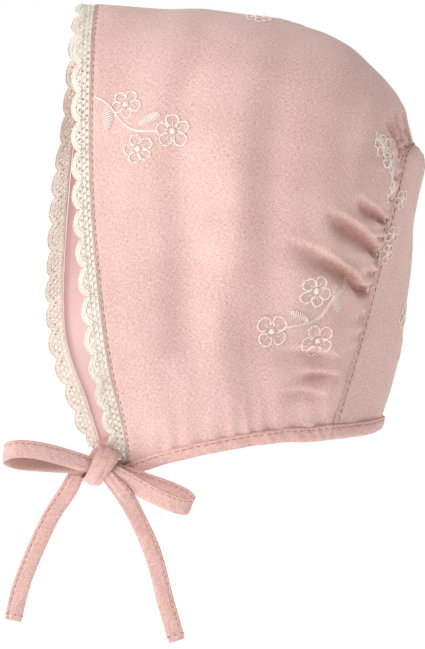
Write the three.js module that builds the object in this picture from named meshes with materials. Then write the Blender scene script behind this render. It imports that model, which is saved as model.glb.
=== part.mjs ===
// A lined baby bonnet: a cloth crown panel gathered onto a horseshoe back panel, a scalloped lace
// edge round the face, a bound neck edge, and ties knotted in a bow at the wearer's left cheek.
// Millimetres. +Z is up, the face opening looks along -Y, and +X is the wearer's left.
// The origin is on the lining's inner face, where it rests on the top of the head.
import * as THREE from "three";

// Overall form
const CROWN_WIDTH = 128; // across the widest part
const CROWN_DEPTH = 150; // from the face edge to the back of the head
const CROWN_HEIGHT = 197; // from the top of the crown to the chin corners
const GATHER_HEIGHT = 2.6; // how far the gathered cloth puffs out beside the back seam
const CROWN_EASE = 1.2; // the crown's line stands this far above where the head touches it
const FACE_SKEW = 5; // the face edge's right brow lies this far behind its left one

// Cloth and seams
const SHELL = 1.2; // outer cloth
const LINING = 1.0;
const CLEARANCE = 0.3; // between two pieces
const LINING_GAP = 0.5; // between the shell and the lining
const SEAM_GAP = 0.35; // between a panel's edge and the next panel's
const BINDING_WIDTH = 6.4; // height of the folded strip that binds the neck edge
const BINDING_WALL = 1.0;
const BINDING_EASE = 0.7; // between the binding and the layers that it holds

// Lace
const LACE = 1.0;
const LACE_REACH = 8.3; // from the cloth edge to a scallop's tip
const LACE_VALLEY = 5.3; // from the cloth edge to the notch between two scallops
const LACE_TUCK = 3; // sewn in between the shell and the lining
const LACE_STOP = 6.5; // the lace ends this far above the binding
const LACE_PITCH = 12.4; // length of a scallop
const LACE_PLY_GAP = 0.45; // between the lace and the cloth on each side of it

// Ties
const TIE_WIDTH = 7.4;
const TIE_THICKNESS = 1.8;
const KNOT_WIDTH = 8.4; // of the band that wraps the bow
const KNOT_TALL = 17.6;
const KNOT_DEEP = 14.8;
const KNOT_TILT = 24; // degrees, the band's top leans towards the back of the head
const KNOT_OUT = 9; // the knot lies this far outside the chin corner
const KNOT_FORWARD = 14.2; // and this far in front of it
const KNOT_RISE = 5.4; // and this far above it
const LOOP_LENGTH = 41;
const LOOP_OPEN = 4.6; // half the gap between a loop's two layers
const TAIL_LENGTHS = { front: 76, back: 84 };
const CHIN_SAG = 4; // of the strap under the chin

// How finely the solids are faceted
const ARCH_STEPS = 54;
const DEPTH_STEPS = 11;
const LINING_ARCH_STEPS = 27;
const BACK_ROWS = 10;
const BACK_COLUMNS = 10;
const BACK_START = 0.03; // the back panel's first level, as a share of the way down its side

const HALF_WIDTH = CROWN_WIDTH / 2;
const CROWN_TOP = SHELL + LINING_GAP + LINING + CROWN_EASE; // outer face above the head

// The crown panel is lofted through six arches, from the face edge to the back seam. Each cell
// is [half width, depth, height], as shares of half the width, the depth and the height.
const ARCHES = [
  { name: "face", crown: [0, -0.322, 0.014], brow: [0.36, -0.357, -0.069], temple: [0.65, -0.38, -0.378],
    cheek: [0.945, -0.353, -0.723], jaw: [0.8, -0.298, -0.881], hem: [0.578, -0.269, -0.987] },
  { name: "fore", crown: [0, -0.147, 0.002], brow: [0.48, -0.162, -0.066], temple: [0.83, -0.18, -0.358],
    cheek: [0.984, -0.175, -0.693], jaw: [0.9, -0.166, -0.85], hem: [0.742, -0.157, -0.954] },
  { name: "mid", crown: [0, 0.08, -0.009], brow: [0.578, 0.073, -0.078], temple: [0.953, 0.047, -0.338],
    cheek: [0.977, 0.02, -0.673], jaw: [0.92, 0.01, -0.82], hem: [0.797, 0, -0.928] },
  { name: "rear", crown: [0, 0.347, -0.063], brow: [0.547, 0.313, -0.132], temple: [0.875, 0.26, -0.338],
    cheek: [0.875, 0.2, -0.652], jaw: [0.83, 0.18, -0.8], hem: [0.742, 0.16, -0.916] },
  { name: "bloom", crown: [0, 0.517, -0.18], brow: [0.469, 0.46, -0.234], temple: [0.719, 0.373, -0.378],
    cheek: [0.734, 0.3, -0.652], jaw: [0.735, 0.265, -0.8], hem: [0.695, 0.233, -0.918] },
  { name: "seam", crown: [0, 0.597, -0.292], brow: [0.344, 0.536, -0.312], temple: [0.484, 0.483, -0.449],
    cheek: [0.555, 0.4, -0.673], jaw: [0.605, 0.347, -0.8], hem: [0.656, 0.297, -0.916] },
];

// The back panel's middle line, at ten equal steps down the horseshoe's side from its top to the
// hem: how far back it lies, as a share of the depth.
const BACK_SPINE = [0.597, 0.62, 0.627, 0.611, 0.592, 0.584, 0.573, 0.56, 0.542, 0.519, 0.49];

// The gathers at the back seam, as valleys between puffs of cloth. at is the share of the way
// down from the crown to the hem, wide is half the valley's width in the same share, deep is its
// share of the puff, reach is how much of the panel's depth it runs, lean is its rise on the way.
const GATHERS = [
  { at: 0.0, wide: 0.022, deep: 0.7, reach: 0.3, lean: 0 },
  { at: 0.085, wide: 0.022, deep: 0.8, reach: 0.35, lean: 0.03 },
  { at: 0.17, wide: 0.028, deep: 1, reach: 0.45, lean: 0.1 },
  { at: 0.25, wide: 0.02, deep: 0.6, reach: 0.3, lean: 0.06 },
  { at: 0.35, wide: 0.026, deep: 1, reach: 0.5, lean: 0.12 },
  { at: 0.45, wide: 0.034, deep: 1, reach: 0.62, lean: 0.08 },
  { at: 0.56, wide: 0.03, deep: 1, reach: 0.6, lean: 0.1 },
  { at: 0.66, wide: 0.022, deep: 0.5, reach: 0.35, lean: 0.04 },
  { at: 0.79, wide: 0.026, deep: 0.8, reach: 0.5, lean: 0 },
  { at: 0.87, wide: 0.022, deep: 0.8, reach: 0.4, lean: -0.02 },
];

const smooth = (low, high, x) => THREE.MathUtils.smoothstep(x, low, high);
const mirrored = (p) => new THREE.Vector3(-p.x, p.y, p.z);

// The point of an arch's station, in millimetres.
function station([across, back, up]) {
  return new THREE.Vector3(across * HALF_WIDTH, back * CROWN_DEPTH, CROWN_TOP + up * CROWN_HEIGHT);
}

// How much of the skew each station of the face edge takes.
const SKEWED = { brow: 1, temple: 0.5 };

// The whole arch as one curve, from the left hem over the crown to the right hem.
function archCurve(row) {
  const names = ["hem", "jaw", "cheek", "temple", "brow"];
  const left = names.map((name) => station(row[name]));
  const right = names.map((name, k) => {
    const skew = row.name === "face" ? FACE_SKEW * (SKEWED[name] ?? 0) : 0;
    return mirrored(left[k]).add(new THREE.Vector3(0, skew, 0));
  }).reverse();
  const curve = new THREE.CatmullRomCurve3([...left, station(row.crown), ...right]);
  curve.arcLengthDivisions = 400;
  return curve;
}

const archCurves = ARCHES.map(archCurve);
const seamCurve = archCurves[archCurves.length - 1];

// A point of the crown panel's outer face before gathering. u runs from the left edge, trim
// above the left hem, over the crown to the right edge. t runs from the face edge to the seam.
function crownPoint(u, t, trim) {
  const points = archCurves.map((curve) => {
    const end = trim / curve.getLength();
    return curve.getPointAt(end + u * (1 - 2 * end));
  });
  return new THREE.CatmullRomCurve3(points).getPoint(t);
}

// How far the gathered cloth stands out from the crown panel's plain form.
function gatherPuff(u, t) {
  const down = Math.abs(u - 0.5) * 2;
  const swell = smooth(0.3, 0.85, t) * (1 - 0.45 * smooth(0.85, 1, t));
  const fade = 1 - smooth(0.9, 0.975, down);
  const pull = GATHERS.reduce((sum, g) => {
    const off = (down - g.at + g.lean * (1 - t) / g.reach * 0.5) / g.wide;
    return sum + g.deep * Math.exp(-off * off) * smooth(1 - g.reach, 1 - g.reach / 4, t);
  }, 0);
  return GATHER_HEIGHT * swell * fade * (1 - Math.min(1, pull));
}

// The share of the way along an arch for even steps k from 0 to 1, made finer over the crown.
function archShare(k) {
  const side = 2 * k - 1;
  return 0.5 + 0.5 * Math.sign(side) * Math.abs(side) ** 1.25;
}

// A grid of points, grid[i][j], from a function of two shares that each run from 0 to 1.
function gridOf(iSteps, jSteps, pointAt) {
  return Array.from({ length: iSteps + 1 }, (_, i) =>
    Array.from({ length: jSteps + 1 }, (_, j) => pointAt(i / iSteps, j / jSteps)));
}

// The outward unit normal at each point of a grid.
function normalsOf(grid) {
  const last = grid.length - 1;
  return grid.map((column, i) => column.map((_, j) => {
    const alongI = grid[Math.min(i + 1, last)][j].clone().sub(grid[Math.max(i - 1, 0)][j]);
    const end = column.length - 1;
    const alongJ = column[Math.min(j + 1, end)].clone().sub(column[Math.max(j - 1, 0)]);
    return alongJ.cross(alongI).normalize();
  }));
}

// The grid moved along its normals by a distance, which may depend on the place in the grid.
function moved(grid, normals, distanceAt) {
  return grid.map((column, i) => column.map((p, j) =>
    p.clone().addScaledVector(normals[i][j], distanceAt(i / (grid.length - 1), j / (column.length - 1)))));
}

// Collects triangles, and leaves out those that have collapsed.
class Surface {
  constructor() {
    this.positions = [];
  }
  triangle(a, b, c) {
    if (a.distanceTo(b) > 1e-6 && b.distanceTo(c) > 1e-6 && c.distanceTo(a) > 1e-6) {
      [a, b, c].forEach((p) => this.positions.push(p.x, p.y, p.z));
    }
  }
  quad(a, b, c, d) {
    this.triangle(a, b, c);
    this.triangle(a, c, d);
  }
  geometry() {
    const made = new THREE.BufferGeometry();
    made.setAttribute("position", new THREE.Float32BufferAttribute(this.positions, 3));
    made.computeVertexNormals();
    return made;
  }
}

// A closed wall between an outer and an inner grid. Cells for which present() is false are holes.
function wall(outer, inner, present = () => true) {
  const made = new Surface();
  const rows = outer.length - 1;
  const columns = outer[0].length - 1;
  const there = (i, j) => i >= 0 && j >= 0 && i < rows && j < columns && present(i, j);
  const rim = (i, j, k, l) => made.quad(outer[i][j], outer[k][l], inner[k][l], inner[i][j]);
  for (let i = 0; i < rows; i++) {
    for (let j = 0; j < columns; j++) {
      if (!there(i, j)) continue;
      made.quad(outer[i][j], outer[i][j + 1], outer[i + 1][j + 1], outer[i + 1][j]);
      made.quad(inner[i][j], inner[i + 1][j], inner[i + 1][j + 1], inner[i][j + 1]);
      if (!there(i, j - 1)) rim(i, j, i + 1, j);
      if (!there(i, j + 1)) rim(i + 1, j + 1, i, j + 1);
      if (!there(i - 1, j)) rim(i, j + 1, i, j);
      if (!there(i + 1, j)) rim(i + 1, j, i + 1, j + 1);
    }
  }
  return made.geometry();
}

// A solid skinned over rings of points that turn right-handed about the way they run.
function skin(rings, section, closed = false) {
  const made = new Surface();
  const count = section.length;
  const spans = closed ? rings.length : rings.length - 1;
  for (let k = 0; k < spans; k++) {
    const here = rings[k];
    const next = rings[(k + 1) % rings.length];
    for (let i = 0; i < count; i++) {
      const j = (i + 1) % count;
      made.quad(here[i], here[j], next[j], next[i]);
    }
  }
  if (!closed) {
    THREE.ShapeUtils.triangulateShape(section, []).forEach(([a, b, c]) => {
      const turn = THREE.ShapeUtils.isClockWise([section[a], section[b], section[c]]) ? [a, c, b] : [a, b, c];
      const [first, last] = [rings[0], rings[rings.length - 1]];
      made.triangle(first[turn[0]], first[turn[2]], first[turn[1]]);
      made.triangle(last[turn[0]], last[turn[1]], last[turn[2]]);
    });
  }
  return made.geometry();
}

// A flat strap along centres, with its width along sides. Its section has chamfered corners.
function strap(centres, sides, widthAt, thickness, closed = false) {
  const count = centres.length;
  const corner = thickness * 0.3;
  const sectionOf = (width) => {
    const [w, h] = [width / 2, thickness / 2];
    return [[w, -h + corner], [w, h - corner], [w - corner, h], [corner - w, h],
      [-w, h - corner], [-w, corner - h], [corner - w, -h], [w - corner, -h]]
      .map(([a, b]) => new THREE.Vector2(a, b));
  };
  const rings = centres.map((centre, k) => {
    const after = closed ? centres[(k + 1) % count] : centres[Math.min(k + 1, count - 1)];
    const before = closed ? centres[(k + count - 1) % count] : centres[Math.max(k - 1, 0)];
    const along = after.clone().sub(before).normalize();
    const side = sides[k].clone().addScaledVector(along, -sides[k].dot(along)).normalize();
    const face = along.clone().cross(side);
    return sectionOf(widthAt(k / (count - 1))).map((p) =>
      centre.clone().addScaledVector(side, p.x).addScaledVector(face, p.y));
  });
  return skin(rings, sectionOf(TIE_WIDTH), closed);
}

// Cloth panels
const TRIM = BINDING_WALL + BINDING_EASE; // the panels' lower edges stop this far above the hem line
const lastShare = 1 - SEAM_GAP / 2 / (0.2 * CROWN_DEPTH); // the crown panel stops short of the seam

const LINING_INSET = 4 * SEAM_GAP; // the back lining lies inside the crown's
const plyGap = (t) =>
  LINING_GAP + (LACE + 2 * LACE_PLY_GAP - LINING_GAP) * (1 - smooth(0.06, 0.2, t));

function crownPanel() {
  const plain = gridOf(ARCH_STEPS, DEPTH_STEPS, (k, t) => crownPoint(archShare(k), t * lastShare, TRIM));
  const outer = moved(plain, normalsOf(plain), (k, t) => gatherPuff(archShare(k), t));
  return wall(outer, moved(outer, normalsOf(outer), () => -SHELL));
}

function liningCrown() {
  const plain = gridOf(LINING_ARCH_STEPS, DEPTH_STEPS,
    (k, t) => crownPoint(archShare(k), t * lastShare, TRIM));
  const normals = normalsOf(plain);
  const outer = moved(plain, normals, (_, t) => -SHELL - plyGap(t));
  const inner = moved(plain, normals, (_, t) => -SHELL - plyGap(t) - LINING);
  return wall(outer, inner);
}

const spineCurve = new THREE.SplineCurve(
  BACK_SPINE.map((back, k) => new THREE.Vector2(k / (BACK_SPINE.length - 1), back * CROWN_DEPTH)));

// A point of the back panel. across runs from the left seam to the right one, down from the top of
// the horseshoe to trim above the hem. Each level is a parabola between the two sides of the seam.
// inset is the distance that the panel keeps from the seam.
function backPoint(across, down, trim, inset) {
  const half = 0.5 * seamCurve.getLength();
  const share = BACK_START + down * (1 - BACK_START - trim / half);
  const edge = seamCurve.getPointAt(0.5 * (1 - share));
  const side = 1 - 2 * across;
  const reach = Math.max(edge.x - inset, edge.x / 2);
  const place = side * reach / edge.x;
  const back = THREE.MathUtils.lerp(edge.y, spineCurve.getPoint(share).y, 1 - place * place);
  return new THREE.Vector3(side * reach, back, edge.z - inset * (1 - share));
}

function backLayer(depth, thickness, inset) {
  const plain = gridOf(BACK_COLUMNS, BACK_ROWS, (across, down) => backPoint(across, down, TRIM, inset));
  const normals = normalsOf(plain);
  return wall(moved(plain, normals, () => -depth), moved(plain, normals, () => -depth - thickness));
}

// The neck edge's binding: a folded strip, as a channel that the panels' lower edges stand in.
function neckBinding() {
  const stations = [];
  const addStation = (hem, above, gap) => stations.push({ hem, up: above.sub(hem).normalize(), gap });
  for (let k = 0; k <= DEPTH_STEPS; k++) {
    const t = k / DEPTH_STEPS;
    addStation(crownPoint(0, t * lastShare, 0), crownPoint(0, t * lastShare, BINDING_WIDTH), plyGap(t));
  }
  for (let k = 1; k < BACK_COLUMNS; k++) {
    const across = k / BACK_COLUMNS;
    addStation(backPoint(across, 1, 0, SEAM_GAP), backPoint(across, 1, BINDING_WIDTH, SEAM_GAP), LINING_GAP);
  }
  for (let k = DEPTH_STEPS; k >= 0; k--) {
    const t = k / DEPTH_STEPS;
    addStation(crownPoint(1, t * lastShare, 0), crownPoint(1, t * lastShare, BINDING_WIDTH), plyGap(t));
  }
  const sectionOf = (gap) => {
    const inside = -(SHELL + gap + LINING + BINDING_EASE);
    const outside = BINDING_EASE;
    return [[0, inside - BINDING_WALL], [BINDING_WIDTH, inside - BINDING_WALL], [BINDING_WIDTH, inside],
      [BINDING_WALL, inside], [BINDING_WALL, outside], [BINDING_WIDTH, outside],
      [BINDING_WIDTH, outside + BINDING_WALL], [0, outside + BINDING_WALL]]
      .map(([a, b]) => new THREE.Vector2(a, b));
  };
  const rings = stations.map(({ hem, up, gap }, k) => {
    const before = stations[Math.max(k - 1, 0)].hem;
    const after = stations[Math.min(k + 1, stations.length - 1)].hem;
    const out = after.clone().sub(before).cross(up).normalize();
    return sectionOf(gap).map((p) => hem.clone().addScaledVector(up, p.x).addScaledVector(out, p.y));
  });
  return skin(rings, sectionOf(CLEARANCE));
}

// The lace: a band tucked behind the face edge, pierced, with its free edge in round scallops.
// A scallop's columns are given as shares of its length. The rows run from the tucked edge out to
// the rim, and the last two of them follow the scallop.
const SCALLOP = [0, 0.15, 0.36, 0.64, 0.85];
const LACE_ROWS = ["tuck", "heading", "net", "fan", "rim", "tip"];
const LACE_HOLES = [[1, 1], [3, 1], [2, 3]]; // column in the scallop, and row

function lacePlace(row, phase) {
  const tip = LACE_VALLEY + (LACE_REACH - LACE_VALLEY) * Math.sqrt(Math.sin(Math.PI * phase));
  const places = { tuck: -LACE_TUCK, heading: 0.11 * LACE_REACH, net: 0.29 * LACE_REACH,
    fan: 0.42 * LACE_REACH, rim: tip - 0.16 * LACE_REACH, tip };
  return places[row];
}

function laceTrim() {
  const faceLength = archCurves[0].getLength();
  const end = BINDING_WIDTH + LACE_STOP;
  const count = Math.round((faceLength - 2 * end) / LACE_PITCH);
  const step = 0.01;
  const phases = Array.from({ length: count }, (_, k) => SCALLOP.map((phase) => k + phase)).flat();
  phases.push(count);
  const layer = (depth) => phases.map((place) => {
    const u = place / count;
    const edge = crownPoint(u, 0, end);
    const behind = crownPoint(u, step, end).sub(edge).normalize();
    const beside = crownPoint(Math.min(u + step, 1), 0, end).sub(crownPoint(Math.max(u - step, 0), 0, end));
    const out = behind.clone().cross(beside).normalize();
    const phase = place - Math.floor(place);
    return LACE_ROWS.map((row) =>
      edge.clone().addScaledVector(behind, -lacePlace(row, phase)).addScaledVector(out, -depth)).reverse();
  });
  const top = SHELL + LACE_PLY_GAP;
  const columns = SCALLOP.length;
  const rows = LACE_ROWS.length - 1;
  const pierced = (i, j) =>
    LACE_HOLES.some(([column, row]) => i % columns === column && rows - 1 - j === row);
  return wall(layer(top), layer(top + LACE), (i, j) => !pierced(i, j));
}

// The bow, in a frame of its own: along the bow towards the back, out towards the viewer's side.
const corner = crownPoint(0, 0, 0);
const knotCentre = corner.clone().add(new THREE.Vector3(KNOT_OUT, -KNOT_FORWARD, KNOT_RISE));
const tilt = THREE.MathUtils.degToRad(KNOT_TILT);
const BOW_ALONG = new THREE.Vector3(0, Math.cos(tilt), -Math.sin(tilt));
const BOW_UP = new THREE.Vector3(0, Math.sin(tilt), Math.cos(tilt));
const BOW_OUT = new THREE.Vector3(1, 0, 0);
const bowPoint = (along, out, up) => knotCentre.clone()
  .addScaledVector(BOW_ALONG, along).addScaledVector(BOW_OUT, out).addScaledVector(BOW_UP, up);

const KNOT_STEPS = 16;
const CRIMP = 0.76; // a strap's width inside the knot, as a share of its free width
const crimped = (share) => TIE_WIDTH * (CRIMP + (1 - CRIMP) * smooth(0, 0.22, share));
const crimpedBothEnds = (share) => crimped(Math.min(share, 1 - share) * 2);

function bowKnot() {
  const [high, deep] = [(KNOT_TALL - TIE_THICKNESS) / 2, (KNOT_DEEP - TIE_THICKNESS) / 2];
  const centres = Array.from({ length: KNOT_STEPS }, (_, k) => {
    const angle = (k / KNOT_STEPS) * 2 * Math.PI;
    return bowPoint(0, deep * Math.cos(angle), high * Math.sin(angle));
  });
  return strap(centres, centres.map(() => BOW_ALONG), () => KNOT_WIDTH, TIE_THICKNESS, true);
}

// The straps lie in the knot in layers, counted from its middle, outwards.
const layerOut = (layer) => (layer - 0.5) * (TIE_THICKNESS + 1.4 * CLEARANCE);
const STRAP_ROOT = 1.4; // from the middle of the knot

// A loop leaves the knot on its inner layer and comes back on its outer one. turn is the way it
// points, 1 towards the back and -1 towards the front, and swing is its turn up from the bow's line.
function bowLoop(turn, swing, droop) {
  const steps = 18;
  const rise = THREE.MathUtils.degToRad(swing);
  const middle = (layerOut(1) + layerOut(2)) / 2;
  const centres = [];
  const sides = [];
  for (let k = 0; k <= steps; k++) {
    const angle = (k / steps) * 2 * Math.PI;
    const bulge = Math.sin(angle / 2);
    const reach = STRAP_ROOT + (LOOP_LENGTH - STRAP_ROOT) * bulge ** 1.5;
    const open = Math.sin(angle) * bulge;
    const away = LOOP_OPEN * (1.3 * bulge * bulge - open);
    const out = middle - Math.cos(angle / 2) * (middle - layerOut(1)) + away;
    const up = reach * Math.sin(rise) - droop * open;
    centres.push(bowPoint(turn * reach * Math.cos(rise), out, up));
    sides.push(BOW_UP.clone().multiplyScalar(turn).addScaledVector(BOW_ALONG, -Math.sin(rise)));
  }
  return strap(centres, sides, crimpedBothEnds, TIE_THICKNESS);
}

// A tail leaves the knot sideways behind the loops, and bends down under its own weight. Its
// path's cells are the way across, and the drop, from the knot's middle, as shares of its length.
const TAIL_PATHS = {
  front: [[-0.172, 0.143], [-0.262, 0.277], [-0.388, 0.547], [-0.436, 0.68], [-0.476, 0.848]],
  back: [[0.152, 0.193], [0.249, 0.377], [0.293, 0.5], [0.339, 0.684], [0.398, 0.89]],
};

function bowTail(turn, length, rows) {
  const start = bowPoint(turn * STRAP_ROOT, layerOut(0), -1);
  const exit = bowPoint(turn * (KNOT_WIDTH / 2 + 3.4), layerOut(0), -1.8);
  const path = new THREE.CatmullRomCurve3([start, exit, ...rows.map(([across, drop]) =>
    knotCentre.clone().add(new THREE.Vector3(layerOut(0), across * length, -drop * length)))]);
  const steps = 13;
  const centres = path.getSpacedPoints(steps);
  const sides = centres.map((_, k) => {
    const along = path.getTangentAt(k / steps);
    return new THREE.Vector3(0, along.z, -along.y);
  });
  return strap(centres, sides, crimped, TIE_THICKNESS);
}

// The straps that lead from the ends of the binding to the knot.
const bindingMiddle = -(SHELL + plyGap(0) + LINING) / 2;
function leadStart(side) {
  const x = side * (corner.x + bindingMiddle);
  return new THREE.Vector3(x, corner.y - CLEARANCE, corner.z + BINDING_WIDTH / 2);
}

function lead(points, endWidth) {
  const path = new THREE.CatmullRomCurve3(points);
  const steps = 3 * points.length;
  const centres = path.getSpacedPoints(steps);
  const up = new THREE.Vector3(0, 0, 1);
  const widthAt = (share) => THREE.MathUtils.lerp(BINDING_WIDTH, endWidth, share);
  return strap(centres, centres.map(() => up), widthAt, TIE_THICKNESS);
}

function leadLeft() {
  const start = leadStart(1);
  const entry = bowPoint(KNOT_WIDTH / 2 + 1.5, layerOut(-1), 2);
  return lead([start, entry, bowPoint(STRAP_ROOT, layerOut(-1), 2)], TIE_WIDTH * CRIMP);
}

function chinStrap() {
  const start = leadStart(-1);
  const end = bowPoint(0, -(KNOT_DEEP + TIE_THICKNESS) / 2 - CLEARANCE, 2);
  const between = (share, sag) => start.clone().lerp(end, share).add(new THREE.Vector3(0, -1, -sag * CHIN_SAG));
  return lead([start, between(0.08, 0.3), between(0.3, 0.9), between(0.55, 1), between(0.8, 0.6), end], TIE_WIDTH);
}

// Materials
const COLOURS = { linen: 0xe2b5ad, lining: 0xd9a6a8, binding: 0xdeaca6, lace: 0xf1eadb };
const cloth = (name, roughness) =>
  new THREE.MeshStandardMaterial({ name, color: COLOURS[name], roughness, metalness: 0 });
const linen = cloth("linen", 0.9);
const liningCloth = cloth("lining", 0.85);
const bindingCloth = cloth("binding", 0.9);
const laceCotton = cloth("lace", 0.95);

function piece(name, geometry, material) {
  const mesh = new THREE.Mesh(geometry, material);
  mesh.name = name;
  return mesh;
}

const bonnet = new THREE.Group();
bonnet.name = "baby_bonnet";

const hood = new THREE.Group();
hood.add(piece("crown_panel", crownPanel(), linen));
hood.add(piece("back_panel", backLayer(0, SHELL, SEAM_GAP), linen));
hood.add(piece("lining_crown", liningCrown(), liningCloth));
hood.add(piece("lining_back", backLayer(SHELL + LINING_GAP, LINING, LINING_INSET), liningCloth));
hood.add(piece("lace_trim", laceTrim(), laceCotton));
hood.add(piece("neck_binding", neckBinding(), bindingCloth));
bonnet.add(hood);

const ties = new THREE.Group();
ties.add(piece("lead_left", leadLeft(), bindingCloth));
ties.add(piece("chin_strap", chinStrap(), bindingCloth));
ties.add(piece("bow_knot", bowKnot(), bindingCloth));
ties.add(piece("bow_loop_front", bowLoop(-1, -14, 3.2), bindingCloth));
ties.add(piece("bow_loop_back", bowLoop(1, -2, -3.2), bindingCloth));
ties.add(piece("tail_front", bowTail(-1, TAIL_LENGTHS.front, TAIL_PATHS.front), bindingCloth));
ties.add(piece("tail_back", bowTail(1, TAIL_LENGTHS.back, TAIL_PATHS.back), bindingCloth));
bonnet.add(ties);

export default bonnet;
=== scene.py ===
"""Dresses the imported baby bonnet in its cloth, lace, stitches and embroidery, and stages it."""

import logging
import math
from dataclasses import dataclass, field
from enum import Enum

import bpy
import numpy as np
from mathutils import Matrix


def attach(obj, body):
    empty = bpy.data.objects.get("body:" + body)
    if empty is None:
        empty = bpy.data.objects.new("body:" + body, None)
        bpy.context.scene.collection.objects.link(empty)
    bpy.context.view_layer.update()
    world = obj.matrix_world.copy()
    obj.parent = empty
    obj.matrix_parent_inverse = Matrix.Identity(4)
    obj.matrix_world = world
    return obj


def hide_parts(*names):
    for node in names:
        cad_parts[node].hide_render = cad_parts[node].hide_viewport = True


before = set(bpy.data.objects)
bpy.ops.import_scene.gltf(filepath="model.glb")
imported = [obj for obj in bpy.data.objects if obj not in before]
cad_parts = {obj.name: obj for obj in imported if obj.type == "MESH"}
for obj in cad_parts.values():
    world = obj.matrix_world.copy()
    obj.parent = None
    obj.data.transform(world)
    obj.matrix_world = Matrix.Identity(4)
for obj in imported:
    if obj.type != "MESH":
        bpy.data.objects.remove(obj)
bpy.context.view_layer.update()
LOG = logging.getLogger("bonnet")
Array = np.ndarray
Pair = tuple[float, float]
Node, Socket = bpy.types.Node, bpy.types.NodeSocket
Object, Material = bpy.types.Object, bpy.types.Material
MM = 0.001
TAU = 2.0 * math.pi
HEM_TRIM = 1.7  # how far above the hem line the cloth ends, inside the binding
FACE_STITCH = 1.15  # from the face edge to its topstitch
SEAM_STITCH = 1.9  # from the back seam to its topstitch
STITCH_PITCH = 3.15  # from one topstitch to the next


# Shape helpers


def smooth(low: float, high: float, x: Array) -> Array:
    """Returns the smooth step of x between low and high."""
    s = np.clip((np.asarray(x, float) - low) / (high - low), 0.0, 1.0)
    return s * s * (3.0 - 2.0 * s)


def bell(x: Array) -> Array:
    """Returns a bell curve with its top, 1, at x = 0."""
    return np.exp(-np.asarray(x, float) ** 2)


def unit(v: Array) -> Array:
    """Returns vectors scaled to length 1."""
    return v / np.maximum(np.linalg.norm(v, axis=-1, keepdims=True), 1e-12)


def catmull(points: Array, shares: Array) -> Array:
    """Runs centripetal Catmull-Rom curves through points.

    Args:
        points: curve points, shaped (..., count, 3).
        shares: places along each curve, from 0 to 1, shaped (m,).

    Returns:
        The points at the shares, shaped (..., m, 3).
    """
    count = points.shape[-2]
    first = 2.0 * points[..., :1, :] - points[..., 1:2, :]
    last = 2.0 * points[..., -1:, :] - points[..., -2:-1, :]
    padded = np.concatenate([first, points, last], axis=-2)
    place = np.clip(shares, 0.0, 1.0) * (count - 1)
    start = np.clip(np.floor(place).astype(int), 0, count - 2)
    weight = (place - start)[:, None]
    p0, p1, p2, p3 = (padded[..., start + k, :] for k in range(4))

    def span(a: Array, b: Array) -> Array:
        """Returns the knot step between two points."""
        return np.maximum(np.linalg.norm(b - a, axis=-1, keepdims=True) ** 0.5, 1e-4)

    d0, d1, d2 = span(p0, p1), span(p1, p2), span(p2, p3)
    t1 = ((p1 - p0) / d0 - (p2 - p0) / (d0 + d1) + (p2 - p1) / d1) * d1
    t2 = ((p2 - p1) / d1 - (p3 - p1) / (d1 + d2) + (p3 - p2) / d2) * d1
    c2 = -3.0 * p1 + 3.0 * p2 - 2.0 * t1 - t2
    c3 = 2.0 * p1 - 2.0 * p2 + t1 + t2
    return p1 + weight * (t1 + weight * (c2 + weight * c3))


def run_along(path: Array) -> Array:
    """Returns the length of a polyline up to each of its points."""
    return np.concatenate([[0.0], np.cumsum(np.linalg.norm(np.diff(path, axis=0), axis=1))])


def even(path: Array, shares: Array) -> Array:
    """Returns the points at shares of a polyline's length.

    Args:
        path: the polyline, shaped (n, 3) or (n, 2).
        shares: shares of its length, from 0 to 1.

    Returns:
        One point for each share.
    """
    run = run_along(path)
    marks = np.asarray(shares) * run[-1]
    return np.stack([np.interp(marks, run, path[:, k]) for k in range(path.shape[1])], axis=-1)


def path_length(path: Array) -> float:
    """Returns a polyline's length."""
    return float(np.linalg.norm(np.diff(path, axis=0), axis=1).sum())


def grid_normals(grid: Array) -> Array:
    """Returns the unit normals of a grid of points, facing out of the bonnet.

    Args:
        grid: points, shaped (rows, columns, 3), that turn the same way as the crown's grid.

    Returns:
        Normals of the same shape.
    """
    along_i = np.gradient(grid, axis=0)
    along_j = np.gradient(grid, axis=1)
    return unit(np.cross(along_j, along_i))


def grid_run(grid: Array, axis: int) -> Array:
    """Measures a grid of points along one of its axes.

    Args:
        grid: points, shaped (rows, columns, 3).
        axis: 0 to measure down the columns, 1 along the rows.

    Returns:
        The length from the axis's first point to each point, shaped (rows, columns).
    """
    steps = np.linalg.norm(np.diff(grid, axis=axis), axis=2)
    return np.insert(np.cumsum(steps, axis=axis), 0, 0.0, axis=axis)


def between(grid: Array, i: Array, j: Array) -> Array:
    """Reads a grid between its points.

    Args:
        grid: points or directions, shaped (rows, columns, 3).
        i: rows, which may lie between two.
        j: columns, of the same shape.

    Returns:
        The values, blended from the four nearest points.
    """
    i0, j0 = i.astype(int), j.astype(int)
    a, b = (i - i0)[..., None], (j - j0)[..., None]
    low = grid[i0, j0] * (1 - b) + grid[i0, j0 + 1] * b
    high = grid[i0 + 1, j0] * (1 - b) + grid[i0 + 1, j0 + 1] * b
    return low * (1 - a) + high * a


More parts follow.
